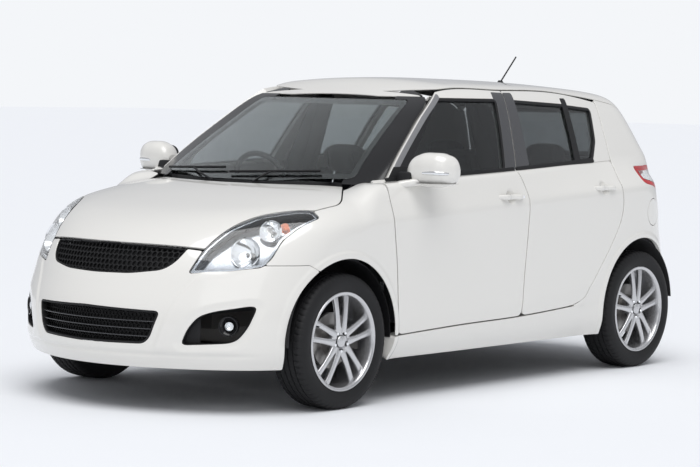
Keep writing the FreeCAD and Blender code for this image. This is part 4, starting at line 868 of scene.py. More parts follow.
sideLook, frameLook = aroundBeam(doorForm, 540, 780), fromSide(cabinSide)


def cardField(outer):
    # the inner card stands clear of the door's edge
    return lambda p: largest(outer(p) + doors["cardIn"], p[..., 2] - beltZ(p[..., 0]) + 62)


def cardY(z):
    # the card bows outwards above and below its middle height
    return doors["innerY"] + doors["bow"] - doors["bow"] * np.cos((z - 660.0) / 330.0 * 1.4)


def flatCard(x, z):
    return place(x, cardY(z), z)


def cardForm(x, y, z):
    return cardY(z) - np.abs(y)


def armrest(x0, x1, z):
    # a padded ledge on the door card, tapered at both ends
    x = np.linspace(x0, x1, 24)
    k = np.sin(np.linspace(0.12, np.pi - 0.12, 24)) ** 0.35
    return swept(place(x, doors["innerY"] - 8.0, z + 0.05 * (x1 - x)), oval(24, 22, 20, 3.0), trim, scale=k)


grip = dict(sink=6.0, stand=22.0, farthest=866.0)


def pullHandle(x0, x1, z):
    # a bar that leaves the skin, runs level over the cup and comes back
    t = np.linspace(0, 1, 28)
    x = x0 + (x1 - x0) * t
    rise = np.clip(np.sin(np.pi * t) * 1.9, 0, 1) ** 0.8
    y = np.minimum(sideY(x, z) - grip["sink"] + grip["stand"] * rise, grip["farthest"])
    return swept(place(x, y, z), oval(8, 12.5, 18, 2.6), pearlWhite, scale=0.75 + 0.25 * rise)


def lockDot(x, z):
    return turned([(-6, 7.5), (0.5, 7.5), (1.6, 6.5), (1.6, 2.2), (0.4, 1.6), (0.4, 0.01)], chrome, 24,
                  centre=(x, float(sideY(np.array(x), np.array(z))) + 0.5, z))


# Each end's spans along the car, its windows, and the dark bands over its frame:
# (x from, to, step), (z from, to, step), field, material, edge, lift
doorEnds = dict(
    front=dict(
        low=doorField(doorFrontX, doorSplitX), high=frameField(frameFrontX, frameSplitX, frontWindow),
        skinX=(-330, 830), frameX=(-420, 730), cardX=(-300, 760), belt=(-249, 700), outs=[frontWindow],
        handle=(-228.0, -36.0), lock=-236.0, rest=(-180.0, 420.0, 700.0), panes=[(-330, 540, 1000, frontWindow)],
        bands=[((120, 700, 6), (1050, 1420, 6), stripField, stripGrey, 1.5, 1.6),
               ((120, 620, 6), (1030, 1420, 6), memberField, blackGloss, 1.2, 1.3),
               ((490, 720, 6), (1000, 1090, 5), sailField, blackPlastic, 1.5, 1.8),
               ((-420, -90, 7), (1030, 1440, 7), frontPostField, pillarGrey, 1.2, 1.7)]),
    rear=dict(
        low=doorField(doorSplitX, doorRearX), high=frameField(frameSplitX, frameRearX, rearWindow, quarterWindow),
        skinX=(-1210, -200), frameX=(-1270, -230), cardX=(-1180, -230), belt=(-1004, -255),
        outs=[rearWindow, quarterWindow], handle=(-1046.0, -866.0), lock=None, rest=(-760.0, -330.0, 720.0),
        panes=[(-930, -330, 1040, rearWindow), (-1175, -830, 1040, quarterWindow)],
        bands=[((-470, -240, 7), (1030, 1440, 7), rearPostField, pillarGrey, 1.2, 1.7),
               ((-960, -800, 5), (1070, 1400, 7), dividerField, blackPlastic, 1.2, 1.7)]))


def onFrame(xs, zs, field, thick, mat, edge=None, lift=0.0):
    return panel(frameLook, xs, zs, field, cabinSide, thick, mat, edge=edge, lift=lift)


def doorSkin(end):
    door, cell, handleZ = doorEnds[end], doors["cell"], handles[end][1]
    skinAngles = np.concatenate([steps(-62, 35, 1.5)[:-1], steps(35, 60, 0.6)])
    frameXs = steps(*door["frameX"], cell)
    parts = [panel(sideLook, steps(*door["skinX"], cell), skinAngles, door["low"], doorForm, doors["skin"],
                   pearlWhite),
             onFrame(frameXs, steps(990, 1446, cell), door["high"], doors["frame"], pearlWhite),
             panel(flatCard, steps(*door["cardX"], 12), steps(300, 1080, 12), cardField(door["low"]), cardForm,
                   doors["card"], trim, edge=8.0),
             onFrame(frameXs, steps(990, 1446, 6), sealField(*door["outs"]), 9.0, blackPlastic, 1.5, 0.9),
             onFrame(steps(door["belt"][0] - 12, door["belt"][1] + 12, 8), steps(990, 1112, 3),
                     beltField(*door["belt"]), 16.0, blackPlastic, 2.0, 2.6)]
    for xs, zs, field, mat, edge, lift in door["bands"]:
        parts.append(onFrame(steps(*xs), steps(*zs), field, doors["bandDepth"], mat, edge, lift))
    parts.append(pullHandle(*door["handle"], handleZ))
    if door["lock"]:
        parts.append(lockDot(door["lock"], handleZ - 2.0))
    parts.append(armrest(*door["rest"]))
    return parts


def doorGlass(end):
    return [onFrame(steps(low, high, 8), steps(foot, 1400, 8), paneField(out), windows["pane"], sideGlass, 1.0,
                    -windows["glassSet"]) for low, high, foot, out in doorEnds[end]["panes"]]


doorKinds = (("skin", "door", "painted", {end: doorSkin(end) for end in doorEnds}),
             ("glass", "glass", "tinted_glass", {end: doorGlass(end) for end in doorEnds}))
for side in ("left", "right"):
    for kind, node, slot, parts in doorKinds:
        for end in doorEnds:
            piece("%s_door_%s_%s" % (end, kind, side), sided(parts[end], side), "%s_door_%s" % (end, side),
                  ["%s_%s_%s" % (end, node, side)])
print("doors done")

# Roof, windscreen and windscreen pillars
roof = dict(rearX=-1554.0, skin=5.0, lining=22.0, doorsTo=160.0, doorsFrom=-1252.0)


def roofField(p):
    x, y, z = xyz(p)
    door = np.minimum(np.minimum(roofEdgeZ(x) + gaps["half"] - z, roof["doorsTo"] - x), x - roof["doorsFrom"])
    return largest(y - roofHalf(x), roof["rearX"] - x, x - screenX(y, 1398.0) + 4, door)


roofTop = panel(fromTop(cabin), steps(-1570, 210, 10), steps(-566, 566, 9), roofField, cabin, roof["skin"],
                pearlWhite)
headlining = panel(fromTop(cabin), steps(-1530, 150, 30), steps(-530, 530, 22),
                   lambda p: largest(np.abs(p[..., 1]) - 520, roofField(p) + 24), cabin, 6.0, cloth, edge=3.0,
                   lift=-roof["lining"])
piece("roof_skin", [roofTop, headlining], "root", ["roof_panel"])

screen = dict(pane=5.0, frit=26.0, columns=np.linspace(-1.02, 1.02, 120))


def screenEdgeY(z):
    return 603 - 132 * (z - 980) / 400


screenHalf = [(250, 996), (380, 1010), (screenEdgeY(1016), 1016), (screenEdgeY(1384), 1384)]
screenOut = distanceTo(rounded(screenHalf + [(-y, z) for y, z in screenHalf[::-1]], 30))


def screenSurface(s, z):
    return fromFront(cabin)(s * (screenEdgeY(z) + 8), z)


windscreen = panel(screenSurface, screen["columns"], steps(988, 1393, 8), inset(screenOut, 0.3), cabin,
                   screen["pane"], screenGlass, edge=1.0)
frit = panel(screenSurface, screen["columns"], steps(988, 1393, 6), inset(screenOut, 2, screen["frit"]), cabin, 0.8,
             blackGloss, edge=0.2, lift=-screen["pane"] - 0.4)
piece("windscreen_pane", [windscreen, frit], "root", ["windscreen"])

pillar = dict(foot=np.array([748.0, 662.0, 985.0]), head=np.array([178.0, 515.0, 1395.0]),
              out=unit([0.74, 0.56, 0.38]))
pillarAcross = unit(np.cross(pillar["out"], unit(pillar["head"] - pillar["foot"])))


def pillarSurface(s, t):
    foot = pillar["foot"] + (pillar["head"] - pillar["foot"]) * s[..., None] + pillarAcross * t[..., None]
    return castOn(cabin, foot + pillar["out"] * 400, -pillar["out"], 900.0)


def pillarField(p):
    x, y, z = xyz(p)
    front = np.where(z > 1004, frameFrontX(z), doorFrontX(np.minimum(z, 1004.0)) - 60)
    return largest(front + gaps["half"] - x, -screenOut(y, z), 992 - z, -roofField(p) - 1.0, z - 1440)


pillarPanel = panel(pillarSurface, np.linspace(-0.06, 1.12, 130), steps(-125, 125, 5), pillarField, cabin, 30.0,
                    blackGloss)


# Quarter panel with the rear pillar, sill, and the posts inside the doors
quarter = dict(skin=16.0, gateHalf=566.0)
bumperSeam = distanceTo([(-1560, 520), (-1640, 600), (-1700, 648), (-1960, 648), (-1960, 300), (-1500, 300)])
tailLampOut = distanceTo(rounded([(-1340, 1054), (-1336, 968), (-1480, 944), (-1600, 884), (-1690, 806),
                                  (-1750, 790), (-1960, 800), (-1960, 1054)], 34))
lid = dict(x=-1440.0, z=812.0, radius=71.0)


def lidField(p):
    return np.hypot(p[..., 0] - lid["x"], p[..., 2] - lid["z"]) - lid["radius"]
def gateEdge(z):
    return quarter["gateHalf"] - 66.0 * np.maximum(z - 1080, 0) / 380.0


def quarterField(p):
    x, y, z = xyz(p)
    door = np.where(z < 1082, doorRearX(np.minimum(z, 1082.0)), frameRearX(np.maximum(z, 1082.0)))
    gate = np.minimum(-x - 1510, gateEdge(z) - y)
    return largest(x - door + gaps["half"], archField(x, z, "rearX"), -bumperSeam(x, z), gate,
                   np.minimum(-tailLampOut(x, z), y - 560), np.minimum(roofHalf(x) + 2 - y, z - 1330), 353 - z)


quarterLook = aroundPost(quarterForm, -1000, 250)


def quarterParts(side):
    us, vs = steps(56, 180, 0.8), steps(345, 1460, 8)
    if side == "right":
        return [panel(quarterLook, us, vs, quarterField, quarterForm, quarter["skin"], pearlWhite)]
    return [panel(quarterLook, us, vs, lambda p: np.maximum(quarterField(p), 1.5 - lidField(p)), quarterForm,
                  quarter["skin"], pearlWhite),
            panel(quarterLook, us, vs, lambda p: np.maximum(lidField(p) + 1.5, 500 - p[..., 1]), quarterForm, 3.0,
                  pearlWhite, edge=1.0)]


def sillField(p):
    x, y, z = xyz(p)
    return largest(z - doorFootZ(x) + gaps["half"], 194 - z, archField(x, z, "frontX"), archField(x, z, "rearX"),
                   x - 768, -996 - x)


sillPanel = panel(fromSide(flank), steps(-1006, 776, 8), steps(186, 372, 6), sillField, flank, 60.0, pearlWhite)


# upright posts between and in front of the doors: their side outlines with rounded ends
posts = [
    extruded(rounded([(640, 290), (704, 290), (704, 1030), (540, 1352), (505, 1400), (470, 1400), (470, 1370),
                      (640, 1000)], 14), -345, -225, trim, "x", 10),
    extruded(rounded([(704, 320), (790, 300), (790, 940), (704, 940)], 12), 642, 703, underseal, "y", 8),
    extruded(rounded([(654, 930), (726, 930), (726, 1012), (654, 1012)], 10), 642, 676, underseal, "y", 6),
]
for side in ("left", "right"):
    piece("body_side_skin_" + side, sided(quarterParts(side) + [sillPanel, pillarPanel] + posts, side), "root",
          ["body_side_" + side])
print("body sides done")

# Tailgate, rear window, rear bumper and tail lamps
gate = dict(skin=16.0)
gateOut = distanceTo(rounded([(-560, 652), (560, 652), (560, 1078), (494, 1460), (-494, 1460), (-560, 1078)], 24))
rearGlassOut = distanceTo(rounded([(-500, 1082), (500, 1082), (430, 1352), (-430, 1352)], 50))
gateLook = aroundCross(rearForm, -1450, 1010)


def gateField(p):
    x, y, z = p[..., 0], p[..., 1], p[..., 2]
    return largest(gateOut(y, z), -rearGlassOut(y, z), x - roof["rearX"] + 10)


handleOut = distanceTo(rounded([(-262, 892), (262, 892), (250, 926), (-250, 926)], 16))
gateSkin = panel(gateLook, steps(-576, 576, 9), steps(-54, 76, 1.0), gateField, rearForm, gate["skin"], pearlWhite)
handleBar = panel(gateLook, steps(-300, 300, 6), steps(-30, -6, 0.5), inset(handleOut, 0), rearForm, 6.0, pearlWhite,
                  edge=5.0, lift=5.5)
piece("tailgate_skin", [gateSkin, handleBar], "tailgate", ["tailgate"])
rearPane = panel(gateLook, steps(-520, 520, 10), steps(2, 66, 1.0), inset(rearGlassOut, 0.3), rearForm, 5.0,
                 sideGlass, edge=1.0, lift=-3.0)
rearFrit = panel(gateLook, steps(-520, 520, 6), steps(2, 66, 0.6), inset(rearGlassOut, 1, 30), rearForm, 0.8,
                 blackGloss, edge=0.2, lift=-8.6)
piece("rear_window_pane", [rearPane, rearFrit], "tailgate", ["rear_window"])

bumperKeep = distanceTo([(-1563, 517), (-1641, 597), (-1701, 645), (-1990, 645), (-1990, 280), (-1300, 280),
                         (-1300, 517)])


def rearBumperField(p):
    x, y, z = xyz(p)
    return largest(bumperKeep(x, z), archField(x, z, "rearX"), 292 - z)


piece("rear_bumper_skin", [panel(aroundPost(flank, -1250, 0), steps(98, 262, 0.8), steps(286, 652, 7),
                                 rearBumperField, flank, 5.0, pearlWhite)], "root", ["rear_bumper"])


def tailLampField(p):
    x, y, z = xyz(p)
    return largest(tailLampOut(x, z) + 1.2, quarter["gateHalf"] + 1 - y)


def tailRing(p):
    x, y, z = xyz(p)
    return largest(tailLampField(p), -24 - tailLampOut(x, z))


def tailCentre(p):
    x, y, z = xyz(p)
    return largest(tailLampOut(x, z) + 24.5, quarter["gateHalf"] + 6 - y)


tailParts = [panel(quarterLook, steps(96, 180, across), steps(775, 1070, up), field, quarterForm, 3.0, mat,
                   edge=edge, lift=lift)
             for across, up, field, mat, edge, lift in (
                 (0.7, 5, tailRing, lensRed, 1.2, 0.0), (0.7, 5, tailCentre, lensClear, 1.2, 0.0),
                 (1.2, 9, lambda p: tailLampField(p) + 6, chrome, 1.0, -24.0))]
piece("tail_lamp_lenses", both(tailParts), "root", ["tail_lamps"])
print("tail done")


# Lamps, grilles and fog lamps
def drawnIn(edge, by):
    # every point of an outline moved towards its middle
    return edge + unit(edge.mean(0) - edge) * by


def rimWall(edge, way, depth, mat, thick=2.0):
    # a closed band along an outline that goes back by the depth
    inner, back = drawnIn(edge, thick), way * depth
    return gridPart(np.array([edge, edge + back, inner + back, inner]), mat, closeU=True, closeV=True)


def bowl(centre, way, radius, depth, mat, count=56, thick=2.0):
    # a paraboloid: height = depth * (r / radius)^2 below its rim
    r = np.linspace(1.0, radius, 14)
    h = depth * ((r / radius) ** 2 - 1)
    return turned(list(zip(h, r)) + list(zip(h[::-1] - thick, r[::-1])), mat, count, centre=centre, way=way)


def bars(edges, width, surface, near, far, mat):
    # a thin box along each edge, between two depths behind the surface
    a, b = edges[:, 0], edges[:, 1]
    d = unit(b - a)
    n = np.stack([-d[:, 1], d[:, 0]], -1) * width / 2
    flat = np.stack([a - n, a + n, b + n, b - n], 1)
    p = surface(flat[..., 0], flat[..., 1])
    corners = np.concatenate([p - [near, 0, 0], p - [far, 0, 0]], 1)
    quads = np.array([[3, 2, 1, 0], [4, 5, 6, 7], [0, 1, 5, 4], [1, 2, 6, 5], [2, 3, 7, 6], [3, 0, 4, 7]])
    faces = (quads[None] + np.arange(len(edges))[:, None, None] * 8).reshape(-1, 4)
    points = corners.reshape(-1, 3)
    return dict(points=points, normals=np.zeros_like(points), faces=[faces], mat=mat)


def honeycomb(outline, pitch, span, rise, middle):
    # the three right-hand edges of every hexagon whose ends lie within the outline
    i, j = np.meshgrid(np.arange(-span, span + 1), np.arange(-rise, rise + 1), indexing="ij")
    cy = (i + 0.5 * (j % 2)) * pitch
    cz = middle + j * pitch * 0.866
    a = np.radians([-90.0, -30.0, 30.0, 90.0])
    corner = np.stack([cy[..., None] + pitch / 1.732 * np.cos(a), cz[..., None] + pitch / 1.732 * np.sin(a)], -1)
    edges = np.stack([corner[..., :3, :], corner[..., 1:, :]], -2).reshape(-1, 2, 2)
    keep = (outline(edges[:, 0, 0], edges[:, 0, 1]) < 5) & (outline(edges[:, 1, 0], edges[:, 1, 1]) < 5)
    return edges[keep]


noseFace = fromFront(body)
grille = dict(back=46.0, slats=(338.0, 371.0, 404.0), slatBack=22.0)
grilleParts = []
for out, halfY, low, high, band, deep in ((upperOut, 412, 594, 746, 7, 22.0), (lowerOut, 390, 290, 470, 9, 26.0)):
    grilleParts += [panel(noseFace, steps(-halfY, halfY, 4), steps(low, high, 3), inset(out, 1.2, band), body, deep,
                          blackPlastic, edge=1.5, lift=-2.5),
                    panel(noseFace, steps(-halfY, halfY, 12), steps(low, high, 10), inset(out, 1), body, 2.0,
                          underseal, edge=0.5, lift=-grille["back"])]
grilleParts += [bars(honeycomb(upperOut, 25.0, 18, 4, 668.0), 3.0, noseFace, 12.0, 26.0, blackPlastic),
                bars(honeycomb(lowerOut, 19.0, 22, 6, 380.0), 2.0, noseFace, 34.0, 42.0, blackPlastic)]
for level in grille["slats"]:
    y = np.linspace(-380, 380, 61)
    y = y[lowerOut(y, np.full(61, level)) < 3]
    slat = noseFace(y, np.full(len(y), level)) - [grille["slatBack"], 0, 0]
    grilleParts.append(swept(slat, oval(11, 2.6, 16, 3.0), pillarGrey))
piece("grille_inserts", grilleParts, "root", ["grilles"])

lampLook = fromLamp(body)
lampUs, lampVs = steps(lampU.min() - 12, lampU.max() + 12, 6), steps(lampV.min() - 12, lampV.max() + 12, 6)
lampRim = drawnIn(lampRound, 4.0)
lampRim = lampLook(lampRim[:, 0], lampRim[:, 1]) - lampOut * 3.5
beams = (dict(at=(1551.0, 620.0, 721.0), way=unit((0.9, 0.3, 0.25)), radius=62.0, deep=46.0),
         dict(at=(1425.0, 655.0, 805.0), way=unit((0.85, 0.35, 0.35)), radius=44.0, deep=34.0))
turnBulb = dict(at=(1382.0, 700.0, 826.0), way=unit((0.8, 0.4, 0.4)))


def lampPanel(field, thick, mat, edge, lift=0.0):
    return panel(lampLook, lampUs, lampVs, field, body, thick, mat, edge=edge, lift=lift)


def behindLens(at, back):
    # the point of the lens in front of a reflector, moved back
    u, v = onLamp(np.array(at))
    return lampLook(np.array([u]), np.array([v]))[0] - lampOut * back


lampParts = [lampPanel(lambda p: lampField(p) + 1.5, lamp["lens"], lensClear, 1.4),
             lampPanel(lambda p: lampField(p) + 5.0, 2.0, lampSilver, 0.6, -lamp["depth"]),
             lampPanel(lambda p: largest(lampField(p) + 2.5, -14.0 - lampField(p)), 2.0, lampSilver, 0.6, -10.0),
             rimWall(lampRim, -lampOut, lamp["depth"] - 4, pillarGrey)]
for beam in beams:
    way, r, deep, mid = beam["way"], beam["radius"], beam["deep"], behindLens(beam["at"], 24)
    lampParts += [bowl(mid, way, r, deep, chrome),
                  turned([(-3, r), (1, r + 1), (4, r + 5), (1, r + 8), (-4, r + 8), (-9, r + 3)], chrome, 56,
                         centre=mid, way=way),
                  turned([(6 - deep, 0.5), (6 - deep, 7), (22 - deep, 7), (27 - deep, 4), (28 - deep, 0.5)], steel,
                         24, centre=mid, way=way)]
way, mid = turnBulb["way"], behindLens(turnBulb["at"], 26)
lampParts += [bowl(mid, way, 27.0, 18.0, chrome, 40),
              turned([(-16, 0.5), (-15, 7), (-2, 10), (5, 8), (9, 4), (10, 0.5)], amber, 28, centre=mid, way=way)]
piece("headlamp_units", both(lampParts), "root", ["headlamps"])

fog = dict(at=np.array([1656.0, 625.0, 393.0]), way=np.array([0.86, 0.51, 0.0]), radius=40.0, depth=36.0)
fogLook = aroundPost(body, 1150, 0)
fogEdge = drawnIn(np.array(fogRecess), 1.5)
fogRim = noseFace(fogEdge[:, 0], fogEdge[:, 1]) - [3.0, 1.5, 0]
fogSide = np.array([0, 4.0, 0])
fogParts = [panel(fogLook, steps(12, 42, 0.3), steps(296, 496, 5), inset(fogOut, 1), body, 2.0, blackPlastic,
                  edge=0.6, lift=-fog["depth"]),
            rimWall(fogRim, np.array([-0.9, -0.44, 0]), fog["depth"] - 2, blackPlastic),
            bowl(fog["at"], fog["way"], fog["radius"], 20.0, blackGloss, 48),
            bowl(fog["at"] - fog["way"] * 6 + fogSide, fog["way"], 19.0, 12.0, chrome, 40),
            turned([(-30, 44), (2, 44), (5, 42), (5, 39), (2, 38), (-30, 38)], blackGloss, 48, centre=fog["at"],
                   way=fog["way"]),
            turned([(0, 0.5), (-1, 9), (-4, 19), (-6, 19), (-3, 9), (-2, 0.5)], lensClear, 40,
                   centre=fog["at"] + fogSide, way=fog["way"])]
piece("fog_lamp_units", both(fogParts), "root", ["fog_lamps"])
print("lamps done")

# Door mirrors: superellipses along the arm, flat at the back
mirror = dict(faceX=486.0, rows=44, inner=762.0, outer=991.0, middle=(882.0, 1066.0))
mirrorLine = [(760, 566, 1050, 30, 26), (782, 562, 1057, 52, 54), (830, 556, 1064, 66, 76), (890, 550, 1066, 70, 80),
              (945, 540, 1065, 66, 74), (978, 528, 1062, 50, 56), (992, 518, 1060, 26, 32)]
mirrorAt = [curve([(row[0], row[k]) for row in mirrorLine]) for k in range(1, 5)]


def mirrorShell(y0, y1, mat, low=-np.inf, high=np.inf, grow=0.0):
    # the shell between two stations, and between two heights
    y = y0 + (y1 - y0) * (1 - np.cos(np.linspace(0, np.pi, mirror["rows"]))) / 2
    x, z, rx, rz = [f(y)[:, None] for f in mirrorAt]
    ring = oval(1.0, 1.0, 64, 2.5)
    px = np.maximum(x + (rx + grow) * ring[None, :, 0], mirror["faceX"])
    pz = np.clip(z + (rz + grow) * ring[None, :, 1], low, high)
    return gridPart(place(px, y[:, None], pz), mat, closeV=True, caps=True)


def facePlate(half, front, back, mat, bevel):
    outline = oval(1.0, 1.0, 48, 2.8) * half + np.array(mirror["middle"])
    return extruded(outline, mirror["faceX"] - front, mirror["faceX"] + back, mat, "x", bevel)


y = np.linspace(868, 982, 30)
x, z, rx, rz = [f(y) for f in mirrorAt]
taper = np.sin(np.linspace(0.2, np.pi - 0.2, 30)) ** 0.3
line = np.stack([x + rx * 0.97, y, z - 14 + 0.03 * (y - 870)], -1)
mirrorParts = [
    mirrorShell(mirror["inner"], mirror["outer"], pearlWhite),
    mirrorShell(mirror["inner"] + 6, mirror["outer"] - 8, pearlWhite, 992.0, 1004.0, 1.0),
    swept(line, oval(3.0, 9.0, 18, 3.0), silver, scale=taper),
    swept(line + [2.2, 0.8, 0], oval(2.0, 7.0, 18, 3.0), chrome, scale=taper),
    facePlate([84.0, 62.0], 3.5, 4, blackPlastic, 2.0),
    facePlate([79.0, 57.0], 4.6, -1, mirrorGlass, 0.8),
    extruded(rounded([(642, 1000), (560, 1000), (548, 1044), (622, 1056)], 12), 728, 806, blackPlastic, "y", 8),
    swept([(716.0, 748, 984), (690.0, 756, 990), (655.0, 772, 997), (618.0, 794, 1004), (588.0, 820, 1010),
           (565.0, 846, 1014)], oval(30, 17, 24, 2.8), pearlWhite, scale=(0.5, 0.8, 1.0, 1.05, 1.1, 1.1))]
for side in ("left", "right"):
    piece("door_mirror_" + side, sided(mirrorParts, side), "front_door_" + side, ["mirror_" + side])
print("mirrors done")

# Wheels: a treaded tyre, a barrel, five pairs of spokes, nuts, cap and brake disc
tyre = dict(sipes=64, sipe=0.17, sideCut=4.5, topCut=2.5)
rim = dict(spokes=5, nutR=44.0, valveR=194.0, valveAngle=0.42)
halfTyre = [(-80, 213), (-82, 222), (-88, 236), (-92, 256), (-91.5, 272), (-87, 288), (-80, 298), (-70, 303.2),
            (-56, 304.6), (-49.6, 304.9), (-48.6, 299), (-43.4, 299), (-42.4, 305), (-30, 305), (-18.6, 305),
            (-17.6, 298.6), (-12.4, 298.6), (-11.4, 305)]
tyreLine = halfTyre + [(0, 305)] + [(-h, r) for h, r in halfTyre[::-1]] + [(60, 216), (0, 224), (-60, 216)]


def tyrePart(x):
    # the section turned about the axle; narrow sipes cross the shoulders and the middle blocks
    h, r = np.array(tyreLine, float).T
    a = np.linspace(0, 2 * np.pi, 384, endpoint=False)[:, None]
    phase = (a * tyre["sipes"] / (2 * np.pi) + 0.06 * h / 10.0) % 1.0
    shoulder = (np.abs(h) > 49) & (np.abs(h) < 84) & (r > 290)
    centre = (np.abs(h) < 42) & (r > 303)
    r = r - (phase < tyre["sipe"]) * (tyre["sideCut"] * shoulder + tyre["topCut"] * centre)
    p = place(x + r * np.cos(a), wheels["half"] + h, wheels["axleZ"] + r * np.sin(a))
    return gridPart(p, rubber, closeU=True, closeV=True)


arm = dict(start=40.0, length=168.0, off=17.0, spread=22.0, width=12.5, atHub=7.0, atRim=5.0, face=78.0, half=11.0)


def spoke(angle, side):
    # from the hub out to the barrel, crowned, wider at both ends
    t = np.linspace(0, 1, 22)[:, None]
    ring = oval(1.0, 1.0, 20, 3.0)
    along = arm["start"] + arm["length"] * t
    wide = arm["width"] + arm["atHub"] * (1 - t) ** 3 + arm["atRim"] * t ** 4
    across = side * (arm["off"] + arm["spread"] * t) + wide * ring[:, 0]
    face = arm["face"] - 3 * t - 9 * (t - 0.42) ** 2 * 2.2
    y = face - arm["half"] + arm["half"] * ring[:, 1] * (0.88 + 0.12 * np.abs(1 - 2 * t))
    c, s = math.cos(angle), math.sin(angle)
    return gridPart(place(along * c - across * s, wheels["half"] + y, along * s + across * c), silver, closeV=True,
                    caps=True)


rimProfiles = (
    ([(-80, 212), (-79, 222), (-84, 224), (-88, 221), (-86, 204), (-70, 200), (-30, 190), (40, 197), (76, 205),
      (84, 208), (88, 214), (88, 221), (85, 224), (80, 222), (79, 214), (60, 208), (0, 200), (-60, 205)], silver, 128),
    ([(46, 8), (46, 56), (50, 64), (66, 64), (71, 60), (72, 46), (68, 34), (66, 8)], silver, 96),
    ([(64, 1), (64, 27), (71, 27), (74.5, 24), (76, 14), (76.5, 1)], silver, 64),
    ([(64, 27.2), (64, 29.2), (69, 29.2), (69, 27.2)], blackPlastic, 64),
    ([(-6, 30), (-6, 124), (-5, 126), (1, 126), (1.5, 124), (1.5, 112), (4, 112), (4.5, 124), (5, 126), (11, 126),
      (12, 124), (12, 72), (46, 70), (47, 66), (47, 30)], steel, 96))


def hubSpot(radius, angle):
    return radius * math.cos(angle), wheels["half"], radius * math.sin(angle)


def rimParts(x):
    parts = [turned(profile, mat, count, centre=hubSpot(0.0, 0.0)) for profile, mat, count in rimProfiles]
    for k in range(rim["spokes"]):
        angle = math.pi / 2 + k * 2 * math.pi / rim["spokes"]
        parts += [spoke(angle, 1), spoke(angle, -1)]
        spot = hubSpot(rim["nutR"], angle + math.pi / rim["spokes"])
        parts.append(turned([(60, 0.5), (60, 8.6), (73, 8.6), (75, 7), (75, 0.5)], chrome, 6, centre=spot))
        parts.append(turned([(71.5, 8.8), (72.5, 12.5), (71.2, 13), (70, 8.8)], blackPlastic, 24, centre=spot))
    parts.append(turned([(66, 0.5), (66, 4), (86, 3.4), (90, 2.6), (91, 0.5)], blackPlastic, 16,
                        centre=hubSpot(rim["valveR"], rim["valveAngle"])))
    return [moved(q, (x, 0, wheels["axleZ"])) for q in parts]


for end in ("front", "rear"):
    x = wheels[end + "X"]
    treaded, alloy = [tyrePart(x)], rimParts(x)
    for side in ("left", "right"):
        corner = "%s_%s" % (end, side)
        piece("tyre_tread_" + corner, sided(treaded, side), "wheel_" + corner, ["tyre_" + corner])
        piece("alloy_" + corner, sided(alloy, side), "wheel_" + corner, ["rim_" + corner])
print("wheels done")


# Seats: crowned pads with bolsters and sewn channels
def pad(at, half, lean, mat, bolster=0.0, channels=(), rows=56, around=96, power=3.2, sewn=7.0):
    # a superellipsoid, its top drawn in at each channel and raised towards the sides, leant about y
    t = np.linspace(-np.pi / 2 + 0.04, np.pi / 2 - 0.04, rows)[:, None]
    a = np.linspace(0, 2 * np.pi, around, endpoint=False)[None, :]

    def full(c):
        return np.sign(c) * np.abs(c) ** (2 / power)

    x = half[0] * full(np.cos(t)) * full(np.cos(a))
    y = half[1] * full(np.cos(t)) * full(np.sin(a))
    z = half[2] * full(np.sin(t)) + 0 * a
    top = np.clip(z / half[2], 0, 1) ** 0.6
    z = z + top * bolster * step01(np.abs(y) / half[1], 0.62, 0.9)
    for seam in [x - spot * half[0] for spot in channels] + [np.abs(y) - 0.62 * half[1]]:
        z = z - top * sewn * np.exp(-(seam / 5.0) ** 2)
    c, s = math.cos(lean), math.sin(lean)
    return gridPart(np.stack([at[0] + x * c - z * s, at[1] + y, at[2] + x * s + z * c], -1), mat, closeV=True,
                    caps=True)


frontLean, rearLean, restLean = [-math.radians(90 + angle) for angle in (17, 13, 8)]
soft = [pad((50, 380, 400), (252, 214, 68), 0.05, cloth, 34.0, (-0.45, 0.0, 0.45)),
        pad((-238, 380, 650), (302, 206, 66), frontLean, cloth, 30.0, (-0.5, -0.15, 0.2)),
        pad((-336, 380, 1064), (74, 128, 46), frontLean, cloth)]
soft += [swept([(-300.0, y, 900.0), (-322.0, y, 985.0), (-330.0, y, 1030.0)], oval(6, 6, 12), chrome, up=(0, 1, 0))
         for y in (318, 442)]
firm = [block((-150, 190, 236), (250, 530, 350), trim, 14)]
piece("front_seat_pads", both(soft), "root", ["front_seats"])
piece("front_seat_bases", both(firm), "root")
rearSoft = [pad((-705, 0, 424), (188, 560, 62), 0.03, cloth, 8.0, (-0.3, 0.3), around=160),
            pad((-1050, 0, 716), (276, 556, 52), rearLean, cloth, 8.0, (-0.3, 0.3), around=160)]
rearSoft += [pad((-1140, y, 1092), (66, 118, 38), restLean, cloth) for y in (-330, 330)]
piece("rear_seat_pads", rearSoft, "root", ["rear_seat"])

# Dashboard and steering wheel
dashLine = rounded([(560, 700), (545, 880), (566, 930), (616, 962), (700, 966), (764, 900), (764, 660), (700, 640)],
                   34)
helm = dict(at=np.array([340.0, -350.0, 930.0]), tilt=unit([-0.94, 0, 0.33]), radius=178.0)
helmUp, helmSide = np.cross([0, 1.0, 0], helm["tilt"]), np.array([0, 1.0, 0])
dashParts = [extruded(dashLine, -636, 636, trim, "y", 16)]
for y0, y1, mat in ((-520, -190, blackPlastic), (-110, 110, blackGloss), (190, 520, blackPlastic)):
    dashParts.append(block((542, y0, 806), (566, y1, 872), mat, 8))
dashParts.append(block((560, -500, 936), (680, -200, 992), trim, 22))
for y in (-150, 150, -560, 560):
    dashParts.append(turned([(-4, 30), (6, 34), (6, 38), (-4, 38)], silver, 40, centre=(546, y, 846), way=(1, 0, 0)))
dashParts.append(swept([helm["at"] - helm["tilt"] * d for d in (30, 150, 262)], oval(30, 34, 24), trim,
                       up=(0, 1, 0)))
piece("dashboard_trim", dashParts, "root", ["dashboard"])
a = np.linspace(0, 2 * np.pi, 96, endpoint=False)[:, None]
ringPath = helm["at"] + helm["radius"] * (np.cos(a) * helmSide + np.sin(a) * helmUp)
